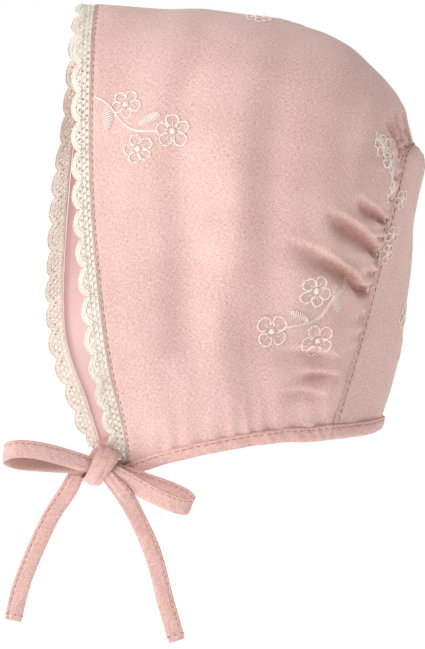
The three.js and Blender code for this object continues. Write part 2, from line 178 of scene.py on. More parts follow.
class Noise:
    """Smooth noise over two numbers, made of a few seeded waves."""

    def __init__(self, seed: int, waves: int = 7) -> None:
        """Draws the waves' directions and phases.

        Args:
            seed: seeds the draw.
            waves: how many waves are summed.
        """
        rng = np.random.default_rng(seed)
        turn = rng.uniform(0.0, TAU, waves)
        size = rng.uniform(0.6, 1.6, waves)
        self.across = np.cos(turn) * size
        self.along = np.sin(turn) * size
        self.phase = rng.uniform(0.0, TAU, waves)

    def __call__(self, x: Array, y: Array) -> Array:
        """Returns the noise, from about -1 to 1.

        Args:
            x: first number, in units of the noise's wavelength.
            y: second number.

        Returns:
            The noise at each place.
        """
        x, y = np.broadcast_arrays(np.asarray(x, float), np.asarray(y, float))
        drawn = zip(self.across, self.along, self.phase)
        waves = [np.sin(TAU * (a * x + b * y) + p) for a, b, p in drawn]
        return sum(waves) / math.sqrt(len(waves)) * 0.8


# The bonnet's form, in millimetres


@dataclass(frozen=True)
class Form:
    """The hood's sizes."""

    half_width: float = 64.0
    depth: float = 150.0
    height: float = 197.0
    crown_top: float = 3.9
    face_skew: float = 5.0
    gather_height: float = 2.6


@dataclass(frozen=True)
class Arch:
    """One cross-section of the crown: stations as shares of half width, depth and height."""

    crown: tuple[float, float, float]
    brow: tuple[float, float, float]
    temple: tuple[float, float, float]
    cheek: tuple[float, float, float]
    jaw: tuple[float, float, float]
    hem: tuple[float, float, float]
    skewed: bool = False


ARCHES = (
    Arch(
        (0, -0.322, 0.014), (0.36, -0.357, -0.069), (0.65, -0.38, -0.378),
        (0.945, -0.353, -0.723), (0.8, -0.298, -0.881), (0.578, -0.269, -0.987), True,
    ),
    Arch(
        (0, -0.147, 0.002), (0.48, -0.162, -0.066), (0.83, -0.18, -0.358),
        (0.984, -0.175, -0.693), (0.9, -0.166, -0.85), (0.742, -0.157, -0.954),
    ),
    Arch(
        (0, 0.08, -0.009), (0.578, 0.073, -0.078), (0.953, 0.047, -0.338),
        (0.977, 0.02, -0.673), (0.92, 0.01, -0.82), (0.797, 0, -0.928),
    ),
    Arch(
        (0, 0.347, -0.063), (0.547, 0.313, -0.132), (0.875, 0.26, -0.338),
        (0.875, 0.2, -0.652), (0.83, 0.18, -0.8), (0.742, 0.16, -0.916),
    ),
    Arch(
        (0, 0.517, -0.18), (0.469, 0.46, -0.234), (0.719, 0.373, -0.378),
        (0.734, 0.3, -0.652), (0.735, 0.265, -0.8), (0.695, 0.233, -0.918),
    ),
    Arch(
        (0, 0.597, -0.292), (0.344, 0.536, -0.312), (0.484, 0.483, -0.449),
        (0.555, 0.4, -0.673), (0.605, 0.347, -0.8), (0.656, 0.297, -0.916),
    ),
)
SPINE = (0.597, 0.62, 0.627, 0.611, 0.592, 0.584, 0.573, 0.56, 0.542, 0.519, 0.49)


class HoodSurface:
    """The hood's plain outer face: the crown between its face edge and the seam, and the back."""

    SAMPLES = 800

    def __init__(self, form: Form) -> None:
        """Runs a curve through each arch's stations.

        Args:
            form: the bonnet's sizes.
        """
        self.form = form
        self.arches = [self._arch(arch) for arch in ARCHES]
        self.lengths = [path_length(arch) for arch in self.arches]
        self.seam = self.arches[-1]

    def _arch(self, arch: Arch) -> Array:
        """Runs one arch from the left hem over the crown to the right one.

        Args:
            arch: its stations.

        Returns:
            Evenly spaced points.
        """
        f = self.form
        scale = np.array([f.half_width, f.depth, f.height])
        left = np.array([arch.hem, arch.jaw, arch.cheek, arch.temple, arch.brow], float) * scale
        skew = np.array([0.0, 0.0, 0.0, 0.5, 1.0]) * (f.face_skew if arch.skewed else 0.0)
        right = left * [-1.0, 1.0, 1.0] + np.stack([0 * skew, skew, 0 * skew], axis=1)
        stations = np.concatenate([left, [np.array(arch.crown) * scale], right[::-1]])
        stations = stations + [0.0, 0.0, f.crown_top]
        fine = catmull(stations, np.linspace(0.0, 1.0, 2400))
        return even(fine, np.linspace(0.0, 1.0, self.SAMPLES))

    def crown(self, u: Array, t: Array, trim: float = 0.0) -> Array:
        """Returns points of the crown's plain outer face.

        Args:
            u: shares from the left hem over the crown to the right hem, shaped (n,).
            t: shares from the face edge, 0, to the back seam, 1, shaped (m,).
            trim: how far above the hem line u starts and ends.

        Returns:
            The points, shaped (n, m, 3).
        """
        rows = []
        for arch, length in zip(self.arches, self.lengths):
            end = trim / length
            rows.append(even(arch, end + np.asarray(u, float) * (1.0 - 2.0 * end)))
        return catmull(np.stack(rows, axis=1), np.asarray(t, float))

    def spine(self, share: Array) -> Array:
        """Finds how far back the back panel's middle line lies.

        Args:
            share: shares down the seam.

        Returns:
            The line's y at each share.
        """
        places = np.linspace(0.0, 1.0, len(SPINE))
        pts = np.stack([places, np.array(SPINE) * self.form.depth, 0 * places], axis=1)
        return catmull(pts[None], np.clip(share, 0.0, 1.0))[0][:, 1]

    def back(
        self,
        across: Array,
        down: Array,
        trim: float = 0.0,
        first: float = 0.004,
        inset: float = 0.0,
    ) -> Array:
        """Returns points of the back panel's plain outer face.

        Args:
            across: shares from the left seam to the right one, shaped (n,).
            down: shares from the top of the horseshoe to trim above the hem, shaped (m,).
            trim: how far above the hem line the last level lies.
            first: the first level, as a share of the way down the seam.
            inset: how far inside the seam the panel ends.

        Returns:
            The points, shaped (n, m, 3).
        """
        half = 0.5 * self.lengths[-1]
        share = first + np.asarray(down, float) * (1.0 - first - trim / half)
        edge = even(self.seam, 0.5 * (1.0 - share))
        side = 1.0 - 2.0 * np.asarray(across, float)[:, None]
        reach = np.maximum(edge[:, 0] - inset, edge[:, 0] / 2.0)
        place = side * reach / np.maximum(edge[:, 0], 1e-6)
        y = edge[:, 1] + (self.spine(share) - edge[:, 1]) * (1.0 - place * place)
        z = np.broadcast_to(edge[:, 2] - inset * (1.0 - share), y.shape)
        return np.stack([side * reach, y, z], axis=-1)


# Mesh making


def new_mesh(name: str, points: Array, faces: list, uv: Array | None = None) -> Object:
    """Makes a smooth-shaded mesh object from points in millimetres.

    Args:
        name: the object's name.
        points: vertices, shaped (n, 3).
        faces: vertex numbers of each face.
        uv: one texture place per vertex, in millimetres of cloth, or None.

    Returns:
        The object, linked to the scene.
    """
    mesh = bpy.data.meshes.new(name)
    mesh.from_pydata((np.asarray(points) * MM).tolist(), [], faces)
    mesh.validate()
    if uv is not None:
        layer = mesh.uv_layers.new(name="cloth")
        loops = np.empty(len(mesh.loops), int)
        mesh.loops.foreach_get("vertex_index", loops)
        layer.data.foreach_set("uv", np.asarray(uv)[loops].astype(np.float32).ravel())
    mesh.polygons.foreach_set("use_smooth", np.ones(len(mesh.polygons), bool))
    obj = bpy.data.objects.new(name, mesh)
    bpy.context.scene.collection.objects.link(obj)
    return obj


SIDES = (
    ((0, -1), (1, 0), (0, 0)),
    ((0, 1), (0, 1), (1, 1)),
    ((-1, 0), (0, 0), (0, 1)),
    ((1, 0), (1, 1), (1, 0)),
)


def grid_shell(outer: Array, inner: Array, keep: Array | None = None) -> tuple[Array, list, Array]:
    """Closes the wall between two grids of points.

    Args:
        outer: the outer face's points, shaped (rows, columns, 3).
        inner: the inner face's points.
        keep: which cells exist, shaped (rows - 1, columns - 1), or None for all.

    Returns:
        Vertices, faces, and each vertex's number in the outer and then the inner grid.
    """
    rows, cols = outer.shape[:2]
    keep = np.ones((rows - 1, cols - 1), bool) if keep is None else keep
    ids = np.arange(rows * cols).reshape(rows, cols)
    low = ids + rows * cols
    i, j = np.nonzero(keep)
    faces = [np.stack([ids[i, j], ids[i, j + 1], ids[i + 1, j + 1], ids[i + 1, j]], axis=1)]
    faces.append(np.stack([low[i, j], low[i + 1, j], low[i + 1, j + 1], low[i, j + 1]], axis=1))
    framed = np.zeros((rows + 1, cols + 1), bool)
    framed[1:rows, 1:cols] = keep
    for step, a, b in SIDES:
        open_side = ~framed[i + 1 + step[0], j + 1 + step[1]]
        oi, oj = i[open_side], j[open_side]
        first, second = ids[oi + a[0], oj + a[1]], ids[oi + b[0], oj + b[1]]
        faces.append(np.stack([first, second, second + rows * cols, first + rows * cols], axis=1))
    points = np.concatenate([outer.reshape(-1, 3), inner.reshape(-1, 3)])
    used = np.concatenate(faces)
    numbers, packed = np.unique(used, return_inverse=True)
    return points[numbers], packed.reshape(used.shape).tolist(), numbers


def tube_faces(count: int, around: int) -> list[list[int]]:
    """Joins rings of points into a tube with a cap on each end.

    Args:
        count: how many rings there are.
        around: how many points each ring has.

    Returns:
        The faces.
    """
    faces = []
    for k in range(count - 1):
        here, there = k * around, (k + 1) * around
        for j in range(around):
            beside = (j + 1) % around
            faces.append([here + j, here + beside, there + beside, there + j])
    return faces + [list(range(around))[::-1], list(range((count - 1) * around, count * around))]


def oval(angle: Array, wide: float, tall: float) -> tuple[Array, Array]:
    """Finds points of a section that lies between a circle and a box.

    Args:
        angle: angles round the section.
        wide: the power of x, 1 for a circle and less for a squarer section.
        tall: the power of y.

    Returns:
        x and y, from -1 to 1.
    """
    x, y = np.cos(angle), np.sin(angle)
    return np.sign(x) * np.abs(x) ** wide, np.sign(y) * np.abs(y) ** tall


# Materials


def set_node(node: Node, values: dict[str, object]) -> Node:
    """Sets a node's properties and inputs.

    Args:
        node: the node.
        values: properties by name, and inputs by name with spaces as underscores.

    Returns:
        The same node.
    """
    for key, value in values.items():
        if hasattr(node, key):
            setattr(node, key, value)
        else:
            node.inputs[key.replace("_", " ")].default_value = value
    return node


class NodeGraph:
    """Builds a material's nodes with short calls."""

    def __init__(self, name: str) -> None:
        """Starts a plain principled material.

        Args:
            name: its name.
        """
        self.material = bpy.data.materials.new(name)
        self.material.use_nodes = True
        self.tree = self.material.node_tree
        self.shader = self.tree.nodes["Principled BSDF"]

    def add(self, kind: str, **values: object) -> Node:
        """Adds a node of a kind, named without its ShaderNode prefix, and sets it."""
        return set_node(self.tree.nodes.new("ShaderNode" + kind), values)

    def join(self, source: Socket, target: Socket) -> None:
        """Links one socket to another."""
        self.tree.links.new(source, target)

    def feed(self, value: object, slot: Socket) -> None:
        """Links a socket to an input, or sets the input to a plain value.

        Args:
            value: a socket, a number or a colour.
            slot: the input.
        """
        if isinstance(value, Socket):
            self.join(value, slot)
        else:
            slot.default_value = value

    def maths(self, operation: str, first: object, second: object = 0.0) -> Socket:
        """Adds a math node on sockets or numbers.

        Args:
            operation: the node's operation.
            first: first input.
            second: second input.

        Returns:
            The result's socket.
        """
        node = self.tree.nodes.new("ShaderNodeMath")
        node.operation = operation
        for slot, value in zip(node.inputs, (first, second)):
            self.feed(value, slot)
        return node.outputs[0]

    def mix(self, amount: object, first: object, second: object, blend: str = "MIX") -> Socket:
        """Adds a colour mix.

        Args:
            amount: the factor, a socket or a number.
            first: first colour, a socket or an RGBA tuple.
            second: second colour.
            blend: the blend type.

        Returns:
            The colour's socket.
        """
        node = self.tree.nodes.new("ShaderNodeMix")
        node.data_type = "RGBA"
        node.blend_type = blend
        for number, value in ((0, amount), (6, first), (7, second)):
            self.feed(value, node.inputs[number])
        return node.outputs[2]

    def bump(self, height: Socket, strength: float, distance: float) -> None:
        """Bumps the shader's normal by a height.

        Args:
            height: the height's socket.
            strength: how strong the bump is.
            distance: the height of 1, in metres.
        """
        node = self.add("Bump", Strength=strength, Distance=distance)
        self.join(height, node.inputs["Height"])
        self.join(node.outputs["Normal"], self.shader.inputs["Normal"])


class Weave(Enum):
    """How a cloth's threads run on its piece."""

    STRAIGHT = 0.0
    BIAS = 45.0


def srgb(red: float, green: float, blue: float) -> tuple[float, float, float, float]:
    """Returns a linear RGBA colour from 0 to 255 sRGB values."""
    parts = [c / 255.0 for c in (red, green, blue)]
    return (*[c / 12.92 if c <= 0.04045 else ((c + 0.055) / 1.055) ** 2.4 for c in parts], 1.0)


@dataclass(frozen=True)
class ClothFinish:
    """A woven cloth with slubs, seen at the scale of its threads, with painted shade darkening its fold
    valleys.
    """

    name: str
    light: tuple[float, float, float, float]
    dark: tuple[float, float, float, float]
    thread: float = 0.33
    slub: float = 0.85
    bump: float = 0.9
    roughness: float = 0.9
    sheen: float = 0.25
    weave: Weave = Weave.STRAIGHT
    # painted shade: the darker, redder tint that the colour is multiplied towards in fold valleys and
    # puckers
    crease_shade_tint: tuple[float, float, float, float] = (0.93, 0.82, 0.78, 1.0)

    def build(self) -> Material:
        """Builds the material, whose threads follow the piece's texture places in millimetres, with painted
        shade multiplied into the colour where the cloth lies in a fold.

        Returns:
            The material.
        """
        g = NodeGraph(self.name)
        places = g.add("UVMap", uv_map="cloth")
        turned = g.add("VectorRotate", rotation_type="Z_AXIS", Angle=math.radians(self.weave.value))
        g.join(places.outputs[0], turned.inputs["Vector"])
        parts = g.add("SeparateXYZ")
        g.join(turned.outputs[0], parts.inputs[0])
        ridges, slubs = [], []
        for axis, stretch in ((0, (1.0, 0.24, 1.0)), (1, (0.24, 1.0, 1.0))):
            step = g.maths("MULTIPLY", parts.outputs[axis], TAU / self.thread)
            ridges.append(g.maths("SINE", step))
            mapped = g.add("Mapping", Scale=stretch)
            g.join(turned.outputs[0], mapped.inputs["Vector"])
            noise = g.add("TexNoise", Scale=1.0 / self.thread, Detail=2.0, Roughness=0.6)
            g.join(mapped.outputs[0], noise.inputs["Vector"])
            slubs.append(noise.outputs["Fac"])
        woven = g.maths("MULTIPLY", g.maths("MULTIPLY", ridges[0], ridges[1]), 0.35)
        slub = g.maths("ADD", slubs[0], slubs[1])
        mottle = g.add("TexNoise", Scale=0.055, Detail=4.0, Roughness=0.55)
        g.join(places.outputs[0], mottle.inputs["Vector"])
        grain = g.maths("MULTIPLY", g.maths("SUBTRACT", slub, 1.0), 2.4 * self.slub)
        cloud = g.maths("MULTIPLY", g.maths("SUBTRACT", mottle.outputs["Fac"], 0.5), 0.5)
        ground = g.maths("ADD", g.maths("MULTIPLY", woven, 0.3), 0.55)
        shade = g.maths("ADD", g.maths("ADD", grain, cloud), ground)
        ramp = g.add("MapRange", From_Min=0.0, From_Max=1.0)
        g.join(shade, ramp.inputs["Value"])
        # painted shade: the per-vertex fold depth multiplies the colour towards the darker, redder tint, so
        # the crown's valleys are darkened in the colour
        pressed = g.add("Attribute", attribute_name="crease_shade")
        plain = g.mix(ramp.outputs[0], self.dark, self.light)
        g.join(g.mix(pressed.outputs["Fac"], plain, self.crease_shade_tint, "MULTIPLY"), g.shader.inputs["Base Color"])
        g.bump(g.maths("ADD", woven, g.maths("MULTIPLY", slub, self.slub)), self.bump, 0.00012)
        g.shader.inputs["Roughness"].default_value = self.roughness
        g.shader.inputs["Sheen Weight"].default_value = self.sheen
        g.shader.inputs["Sheen Roughness"].default_value = 0.45
        g.shader.inputs["Specular IOR Level"].default_value = 0.25
        return g.material


@dataclass(frozen=True)
class ThreadFinish:
    """Cotton thread, or lace worked from it."""

    name: str
    colour: tuple[float, float, float, float]
    shade: tuple[float, float, float, float]
    scale: float = 900.0
    bump: float = 0.4
    roughness: float = 0.75
    sheen: float = 0.3
    glow: float = 0.0

    def build(self) -> Material:
        """Builds the material, with its fibres in the object's own space.

        Returns:
            The material.
        """
        g = NodeGraph(self.name)
        places = g.add("TexCoord")
        fibre = g.add("TexNoise", Scale=self.scale, Detail=3.0, Roughness=0.6)
        cloud = g.add("TexNoise", Scale=self.scale / 14.0, Detail=2.0)
        for node in (fibre, cloud):
            g.join(places.outputs["Object"], node.inputs["Vector"])
        small = g.maths("MULTIPLY", fibre.outputs["Fac"], 0.6)
        both = g.maths("ADD", small, g.maths("MULTIPLY", cloud.outputs["Fac"], 0.5))
        ramp = g.add("MapRange", From_Min=0.32, From_Max=0.72)
        g.join(both, ramp.inputs["Value"])
        g.join(g.mix(ramp.outputs[0], self.shade, self.colour), g.shader.inputs["Base Color"])
        g.bump(fibre.outputs["Fac"], self.bump, 0.0001)
        g.shader.inputs["Roughness"].default_value = self.roughness
        g.shader.inputs["Sheen Weight"].default_value = self.sheen
        g.shader.inputs["Specular IOR Level"].default_value = 0.3
        g.shader.inputs["Subsurface Weight"].default_value = self.glow
        g.shader.inputs["Subsurface Radius"].default_value = (1.0, 1.0, 1.0)
        g.shader.inputs["Subsurface Scale"].default_value = 0.0012
        return g.material


@dataclass
class Finishes:
    """Every material of the bonnet, built once."""

    linen: Material = field(init=False)
    lining: Material = field(init=False)
    binding: Material = field(init=False)
    lace: Material = field(init=False)
    white: Material = field(init=False)
    pink: Material = field(init=False)

    def __post_init__(self) -> None:
        """Builds the materials."""
        self.linen = ClothFinish("linen_cloth", srgb(235, 203, 194), srgb(195, 150, 141)).build()
        self.lining = ClothFinish(
            "lining_cloth",
            srgb(235, 206, 204),
            srgb(218, 184, 183),
            thread=0.3,
            slub=0.3,
            bump=0.3,
            roughness=0.8,
            sheen=0.3,
        ).build()
        self.binding = ClothFinish(
            "binding_cloth", srgb(230, 194, 185), srgb(195, 146, 137), weave=Weave.BIAS
        ).build()
        self.lace = ThreadFinish(
            "lace_cotton", srgb(236, 228, 215), srgb(213, 201, 183), 1400.0, 0.8, 0.85, glow=0.5
        ).build()
        self.white = ThreadFinish(
            "white_thread", srgb(246, 234, 224), srgb(220, 202, 190), 2600.0, 0.3, 0.7
        ).build()
        self.pink = ThreadFinish(
            "pink_thread", srgb(176, 106, 98), srgb(146, 82, 76), 2600.0, 0.3
        ).build()


# Geometry node trees


class GeometryTree:
    """A geometry node tree with named inputs, used once or more and then applied."""

    def __init__(self, name: str) -> None:
        """Starts a tree with a geometry input and output.

        Args:
            name: its name.
        """
        self.tree = bpy.data.node_groups.new(name, "GeometryNodeTree")
        self.tree.interface.new_socket("Geometry", in_out="INPUT", socket_type="NodeSocketGeometry")
        self.tree.interface.new_socket("Geometry", in_out="OUTPUT", socket_type="NodeSocketGeometry")

    def number(self, name: str, value: float) -> None:
        """Adds a named number input with a default value."""
        socket = self.tree.interface.new_socket(name, in_out="INPUT", socket_type="NodeSocketFloat")
        socket.default_value = value

    def whole(self, name: str, value: int) -> None:
        """Adds a named whole-number input with a default value."""
        socket = self.tree.interface.new_socket(name, in_out="INPUT", socket_type="NodeSocketInt")
        socket.default_value = value

    def stuff(self, name: str) -> None:
        """Adds a named material input."""
        self.tree.interface.new_socket(name, in_out="INPUT", socket_type="NodeSocketMaterial")

    def start(self) -> Node:
        """Adds the group's input node and returns it."""
        return self.tree.nodes.new("NodeGroupInput")

    def add(self, kind: str, links: dict | None = None, **values: object) -> Node:
        """Adds a node, sets it and links its inputs.

        Args:
            kind: the node's full type name.
            links: sockets to link, by input name or number.
            values: what set_node sets.

        Returns:
            The node.
        """
        node = set_node(self.tree.nodes.new(kind), values)
        for key, socket in (links or {}).items():
            self.tree.links.new(socket, node.inputs[key])
        return node

    def lay(self, points: Socket, grain: Node, turn: Node, size: Node) -> Node:
        """Adds the node that lays one grain at every point.

        Args:
            points: the points' socket.
            grain: the node that makes the grain.
            turn: the node that gives its rotation.
            size: the node that gives its scale.

        Returns:
            The node.
        """
        links = {"Points": points}
        for title, node in (("Instance", grain), ("Rotation", turn), ("Scale", size)):
            links[title] = node.outputs[0]
        return self.add("GeometryNodeInstanceOnPoints", links)

    def close(self, geometry: Socket, material: Socket) -> None:
        """Ends the tree in Realize Instances and Set Material.

        Args:
            geometry: what the tree has made.
            material: the material input.
        """
        real = self.add("GeometryNodeRealizeInstances", {"Geometry": geometry})
        soft = self.add("GeometryNodeSetShadeSmooth", {"Geometry": real.outputs[0]})
        dressed = self.add("GeometryNodeSetMaterial", {"Geometry": soft.outputs[0], "Material": material})
        end = self.tree.nodes.new("NodeGroupOutput")
        self.tree.links.new(dressed.outputs[0], end.inputs[0])

    def apply(self, obj: Object, values: dict[str, object]) -> Object:
        """Runs the tree on an object and leaves its result as the object's plain mesh.

        Args:
            obj: the object that carries the tree's input geometry.
            values: the tree's inputs by name.

        Returns:
            The same object, without the modifier.
        """
        modifier = obj.modifiers.new("shape", "NODES")
        modifier.node_group = self.tree
        for item in self.tree.interface.items_tree:
            if item.item_type == "SOCKET" and item.in_out == "INPUT" and item.name in values:
                modifier[item.identifier] = values[item.name]
        depsgraph = bpy.context.evaluated_depsgraph_get()
        made = bpy.data.meshes.new_from_object(obj.evaluated_get(depsgraph), depsgraph=depsgraph)
        obj.modifiers.remove(modifier)
        old = obj.data
        obj.data = made
        made.name = obj.name
        bpy.data.meshes.remove(old)
        return obj


class PathStitches(GeometryTree):
    """Stitches laid end to end along paths."""

    def __init__(self) -> None:
        """Builds the tree: it walks each path and lays a grain-shaped stitch at every pitch."""
        super().__init__("path_stitches")
        for name, value in (("Pitch", 0.003), ("Length", 0.0022), ("Radius", 0.0002), ("Wander", 0.1)):
            self.number(name, value)
        self.whole("Seed", 1)
        self.stuff("Material")
        source = self.start().outputs
        curve = self.add("GeometryNodeMeshToCurve", {"Mesh": source["Geometry"]})
        links = {"Curve": curve.outputs[0], "Length": source["Pitch"]}
        evened = self.add("GeometryNodeResampleCurve", links, mode="LENGTH")
        grain = self.add("GeometryNodeMeshUVSphere", Segments=8, Rings=6, Radius=1.0)
        tangent = self.add("GeometryNodeInputTangent")
        turn = self.add("FunctionNodeAlignRotationToVector", {"Vector": tangent.outputs[0]}, axis="Z")
        jitter = self.add("FunctionNodeRandomValue", {"Seed": source["Seed"]}, data_type="FLOAT")
        jitter.inputs[2].default_value = -1.0
        jitter.inputs[3].default_value = 1.0
        sway = self.add("ShaderNodeMath", {0: jitter.outputs[1], 1: source["Wander"]}, operation="MULTIPLY")
        lean = self.add("ShaderNodeCombineXYZ", {0: sway.outputs[0]})
        rotated = self.add("FunctionNodeRotateRotation", {0: turn.outputs[0]}, rotation_space="LOCAL")
        as_turn = self.add("FunctionNodeEulerToRotation", {0: lean.outputs[0]})
        self.tree.links.new(as_turn.outputs[0], rotated.inputs[1])
        half = self.add("ShaderNodeMath", {0: source["Length"]}, operation="MULTIPLY")
        half.inputs[1].default_value = 0.5
        links = {0: source["Radius"], 1: source["Radius"], 2: half.outputs[0]}
        size = self.add("ShaderNodeCombineXYZ", links)
        laid = self.lay(evened.outputs[0], grain, rotated, size)
        self.close(laid.outputs[0], source["Material"])


class SatinStitches(GeometryTree):
    """Single stitches, each at a point with its own direction, length and thickness."""

    def __init__(self) -> None:
        """Builds the tree: it lays a grain-shaped stitch at every point of the input mesh."""
        super().__init__("satin_stitches")
        self.stuff("Material")
        source = self.start().outputs
        grain = self.add("GeometryNodeMeshUVSphere", Segments=6, Rings=4, Radius=1.0)
        heading = self.add("GeometryNodeInputNamedAttribute", data_type="FLOAT_VECTOR", Name="heading")
        length = self.add("GeometryNodeInputNamedAttribute", data_type="FLOAT", Name="half_length")
        radius = self.add("GeometryNodeInputNamedAttribute", data_type="FLOAT", Name="radius")
        turn = self.add("FunctionNodeAlignRotationToVector", {"Vector": heading.outputs[0]}, axis="Z")
        links = {0: radius.outputs[0], 1: radius.outputs[0], 2: length.outputs[0]}
        size = self.add("ShaderNodeCombineXYZ", links)
        laid = self.lay(source["Geometry"], grain, turn, size)
        self.close(laid.outputs[0], source["Material"])


class PliedCord(GeometryTree):
    """A two-ply cord along paths."""

    def __init__(self) -> None:
        """Builds the tree: it sweeps a twisting oval along each path."""
        super().__init__("plied_cord")
        for name, value in (("Step", 0.0004), ("Radius", 0.0003), ("Twist", 3.0)):
            self.number(name, value)
        self.stuff("Material")
        source = self.start().outputs
        curve = self.add("GeometryNodeMeshToCurve", {"Mesh": source["Geometry"]})
        links = {"Curve": curve.outputs[0], "Length": source["Step"]}
        evened = self.add("GeometryNodeResampleCurve", links, mode="LENGTH")
        along = self.add("GeometryNodeSplineParameter")
        links = {0: along.outputs["Length"], 1: source["Twist"]}
        turn = self.add("ShaderNodeMath", links, operation="MULTIPLY")
        tilted = self.add("GeometryNodeSetCurveTilt", {"Curve": evened.outputs[0], "Tilt": turn.outputs[0]})
        ring = self.add("GeometryNodeCurvePrimitiveCircle", {"Radius": source["Radius"]}, mode="RADIUS")
        ring.inputs["Resolution"].default_value = 6
        oval = self.add("GeometryNodeTransform", {"Geometry": ring.outputs[0]}, Scale=(1.25, 0.8, 1.0))
        links = {"Curve": tilted.outputs[0], "Profile Curve": oval.outputs[0]}
        swept = self.add("GeometryNodeCurveToMesh", links)
        self.close(swept.outputs[0], source["Material"])


def path_object(name: str, paths: list[Array]) -> Object:
    """Makes an object of polylines in millimetres, for a tree that follows paths.

    Args:
        name: the object's name.
        paths: polylines, each shaped (n, 3).

    Returns:
        The object, linked to the scene.
    """
    points, edges, first = [], [], 0
    for path in paths:
        count = len(path)
        points.append(path)
        edges += [(first + k, first + k + 1) for k in range(count - 1)]
        first += count
    mesh = bpy.data.meshes.new(name)
    mesh.from_pydata((np.concatenate(points) * MM).tolist(), edges, [])
    obj = bpy.data.objects.new(name, mesh)
    bpy.context.scene.collection.objects.link(obj)
    return obj


def stitch_object(name: str, starts: Array, ends: Array, radii: Array) -> Object:
    """Makes an object of single stitches in millimetres, for the satin tree.

    Args:
        name: the object's name.
        starts: where each stitch starts, shaped (n, 3).
        ends: where each stitch ends.
        radii: each thread's radius.

    Returns:
        The object, linked to the scene.
    """
    mesh = bpy.data.meshes.new(name)
    mesh.from_pydata(((starts + ends) / 2.0 * MM).tolist(), [], [])
    span = ends - starts
    half = np.linalg.norm(span, axis=1) / 2.0
    heading = mesh.attributes.new("heading", "FLOAT_VECTOR", "POINT")
    heading.data.foreach_set("vector", unit(span).astype(np.float32).ravel())
    for title, values in (("half_length", half), ("radius", radii)):
        attribute = mesh.attributes.new(title, "FLOAT", "POINT")
        attribute.data.foreach_set("value", (values * MM).astype(np.float32))
    obj = bpy.data.objects.new(name, mesh)
    bpy.context.scene.collection.objects.link(obj)
    return obj


# The hood's cloth


@dataclass(frozen=True)
class Fold:
    """A valley pressed into the crown: places as (down, t), depth and half width in millimetres."""

    places: tuple[Pair, ...]
    depth: float
    width: float


LEFT_FOLDS = (
    Fold(((0.185, 1.0), (0.176, 0.93), (0.178, 0.86), (0.192, 0.78)), 3.2, 3.0),
    Fold(((0.25, 1.0), (0.262, 0.93)), 1.2, 2.0),
    Fold(((0.311, 1.0), (0.329, 0.943)), 1.2, 2.0),
    Fold(((0.375, 1.0), (0.392, 0.93), (0.412, 0.86), (0.424, 0.76)), 3.0, 2.8),
    Fold(((0.467, 1.0), (0.472, 0.933), (0.488, 0.80), (0.516, 0.60)), 3.7, 4.0),
    Fold(((0.52, 1.0), (0.532, 0.93)), 1.2, 1.8),
    Fold(
        ((0.575, 1.0), (0.595, 0.92), (0.587, 0.868), (0.598, 0.74), (0.604, 0.648), (0.586, 0.465)),
        3.6,
        3.8,
    ),
    Fold(((0.64, 1.0), (0.655, 0.94)), 0.9, 2.0),
    Fold(((0.790, 0.92), (0.798, 0.8), (0.808, 0.66), (0.822, 0.46)), 2.2, 3.4),
    Fold(((0.834, 0.935), (0.838, 0.86), (0.850, 0.74), (0.868, 0.56)), 2.8, 3.2),
    Fold(((0.888, 0.86), (0.894, 0.72), (0.902, 0.5)), 1.6, 2.8),
    Fold(((0.0, 1.0), (0.01, 0.86)), 1.3, 2.6),
    Fold(((0.075, 1.0), (0.07, 0.84)), 1.5, 2.4),
    Fold(((0.135, 1.0), (0.14, 0.8)), 1.6, 2.4),
)
RIGHT_FOLDS = (
    Fold(((0.06, 1.0), (0.055, 0.86)), 1.4, 2.4),
    Fold(((0.12, 1.0), (0.13, 0.82)), 1.5, 2.4),
    Fold(((0.18, 1.0), (0.19, 0.85), (0.2, 0.74)), 2.3, 3.0),
    Fold(((0.26, 1.0), (0.28, 0.9)), 1.4, 2.2),
    Fold(((0.34, 1.0), (0.37, 0.86), (0.41, 0.72)), 2.8, 3.4),
    Fold(((0.43, 1.0), (0.45, 0.92)), 1.3, 2.2),
    Fold(((0.5, 1.0), (0.51, 0.84), (0.545, 0.66)), 3.2, 3.6),
    Fold(((0.6, 1.0), (0.6, 0.8), (0.61, 0.6)), 2.6, 3.2),
    Fold(((0.7, 1.0), (0.71, 0.88)), 1.2, 2.4),
    Fold(((0.81, 0.9), (0.83, 0.6)), 1.5, 2.6),
    Fold(((0.89, 0.82), (0.9, 0.58)), 1.3, 2.4),
)


class Cloth:
    """A panel's outer face, as a fine grid that other pieces lie on."""

    def __init__(self, rows: Array, columns: Array, plain: Array) -> None:
        """Measures the panel's plain face.

        Args:
            rows: the share across the panel at each row of the grid.
            columns: the share down the panel at each column.
            plain: the face's points, shaped (rows, columns, 3).
        """
        self.rows, self.columns, self.plain = rows, columns, plain
        self.normals = grid_normals(plain)
        self.from_left, self.from_start = grid_run(plain, 0), grid_run(plain, 1)
        self.to_side = np.minimum(self.from_left, self.from_left[-1:] - self.from_left)
        self.to_end = self.from_start[:, -1:] - self.from_start

    def press_out(self, height: Array) -> None:
        """Shapes the outer face.

        Args:
            height: how far each grid point lies outside the plain face.
        """
        self.height = height
        self.outer = self.plain + self.normals * height[..., None]
        self.out = grid_normals(self.outer)

    def at(self, row: Array, column: Array, lift: float = 0.0) -> Array:
        """Returns points on the shaped cloth.

        Args:
            row: shares across the panel.
            column: shares down the panel, of the same shape.
            lift: how far outside the cloth the points lie.

        Returns:
            The points.
        """
        i = np.interp(row, self.rows, np.arange(len(self.rows)))
        j = np.interp(column, self.columns, np.arange(len(self.columns)))
        i, j = np.clip(i, 0, len(self.rows) - 1.001), np.clip(j, 0, len(self.columns) - 1.001)
        return between(self.outer, i, j) + between(self.out, i, j) * lift

    def uv(self) -> Array:
        """Returns each grid point's place on the flat cloth, in millimetres."""
        return np.stack([self.from_left, self.from_start], axis=-1)


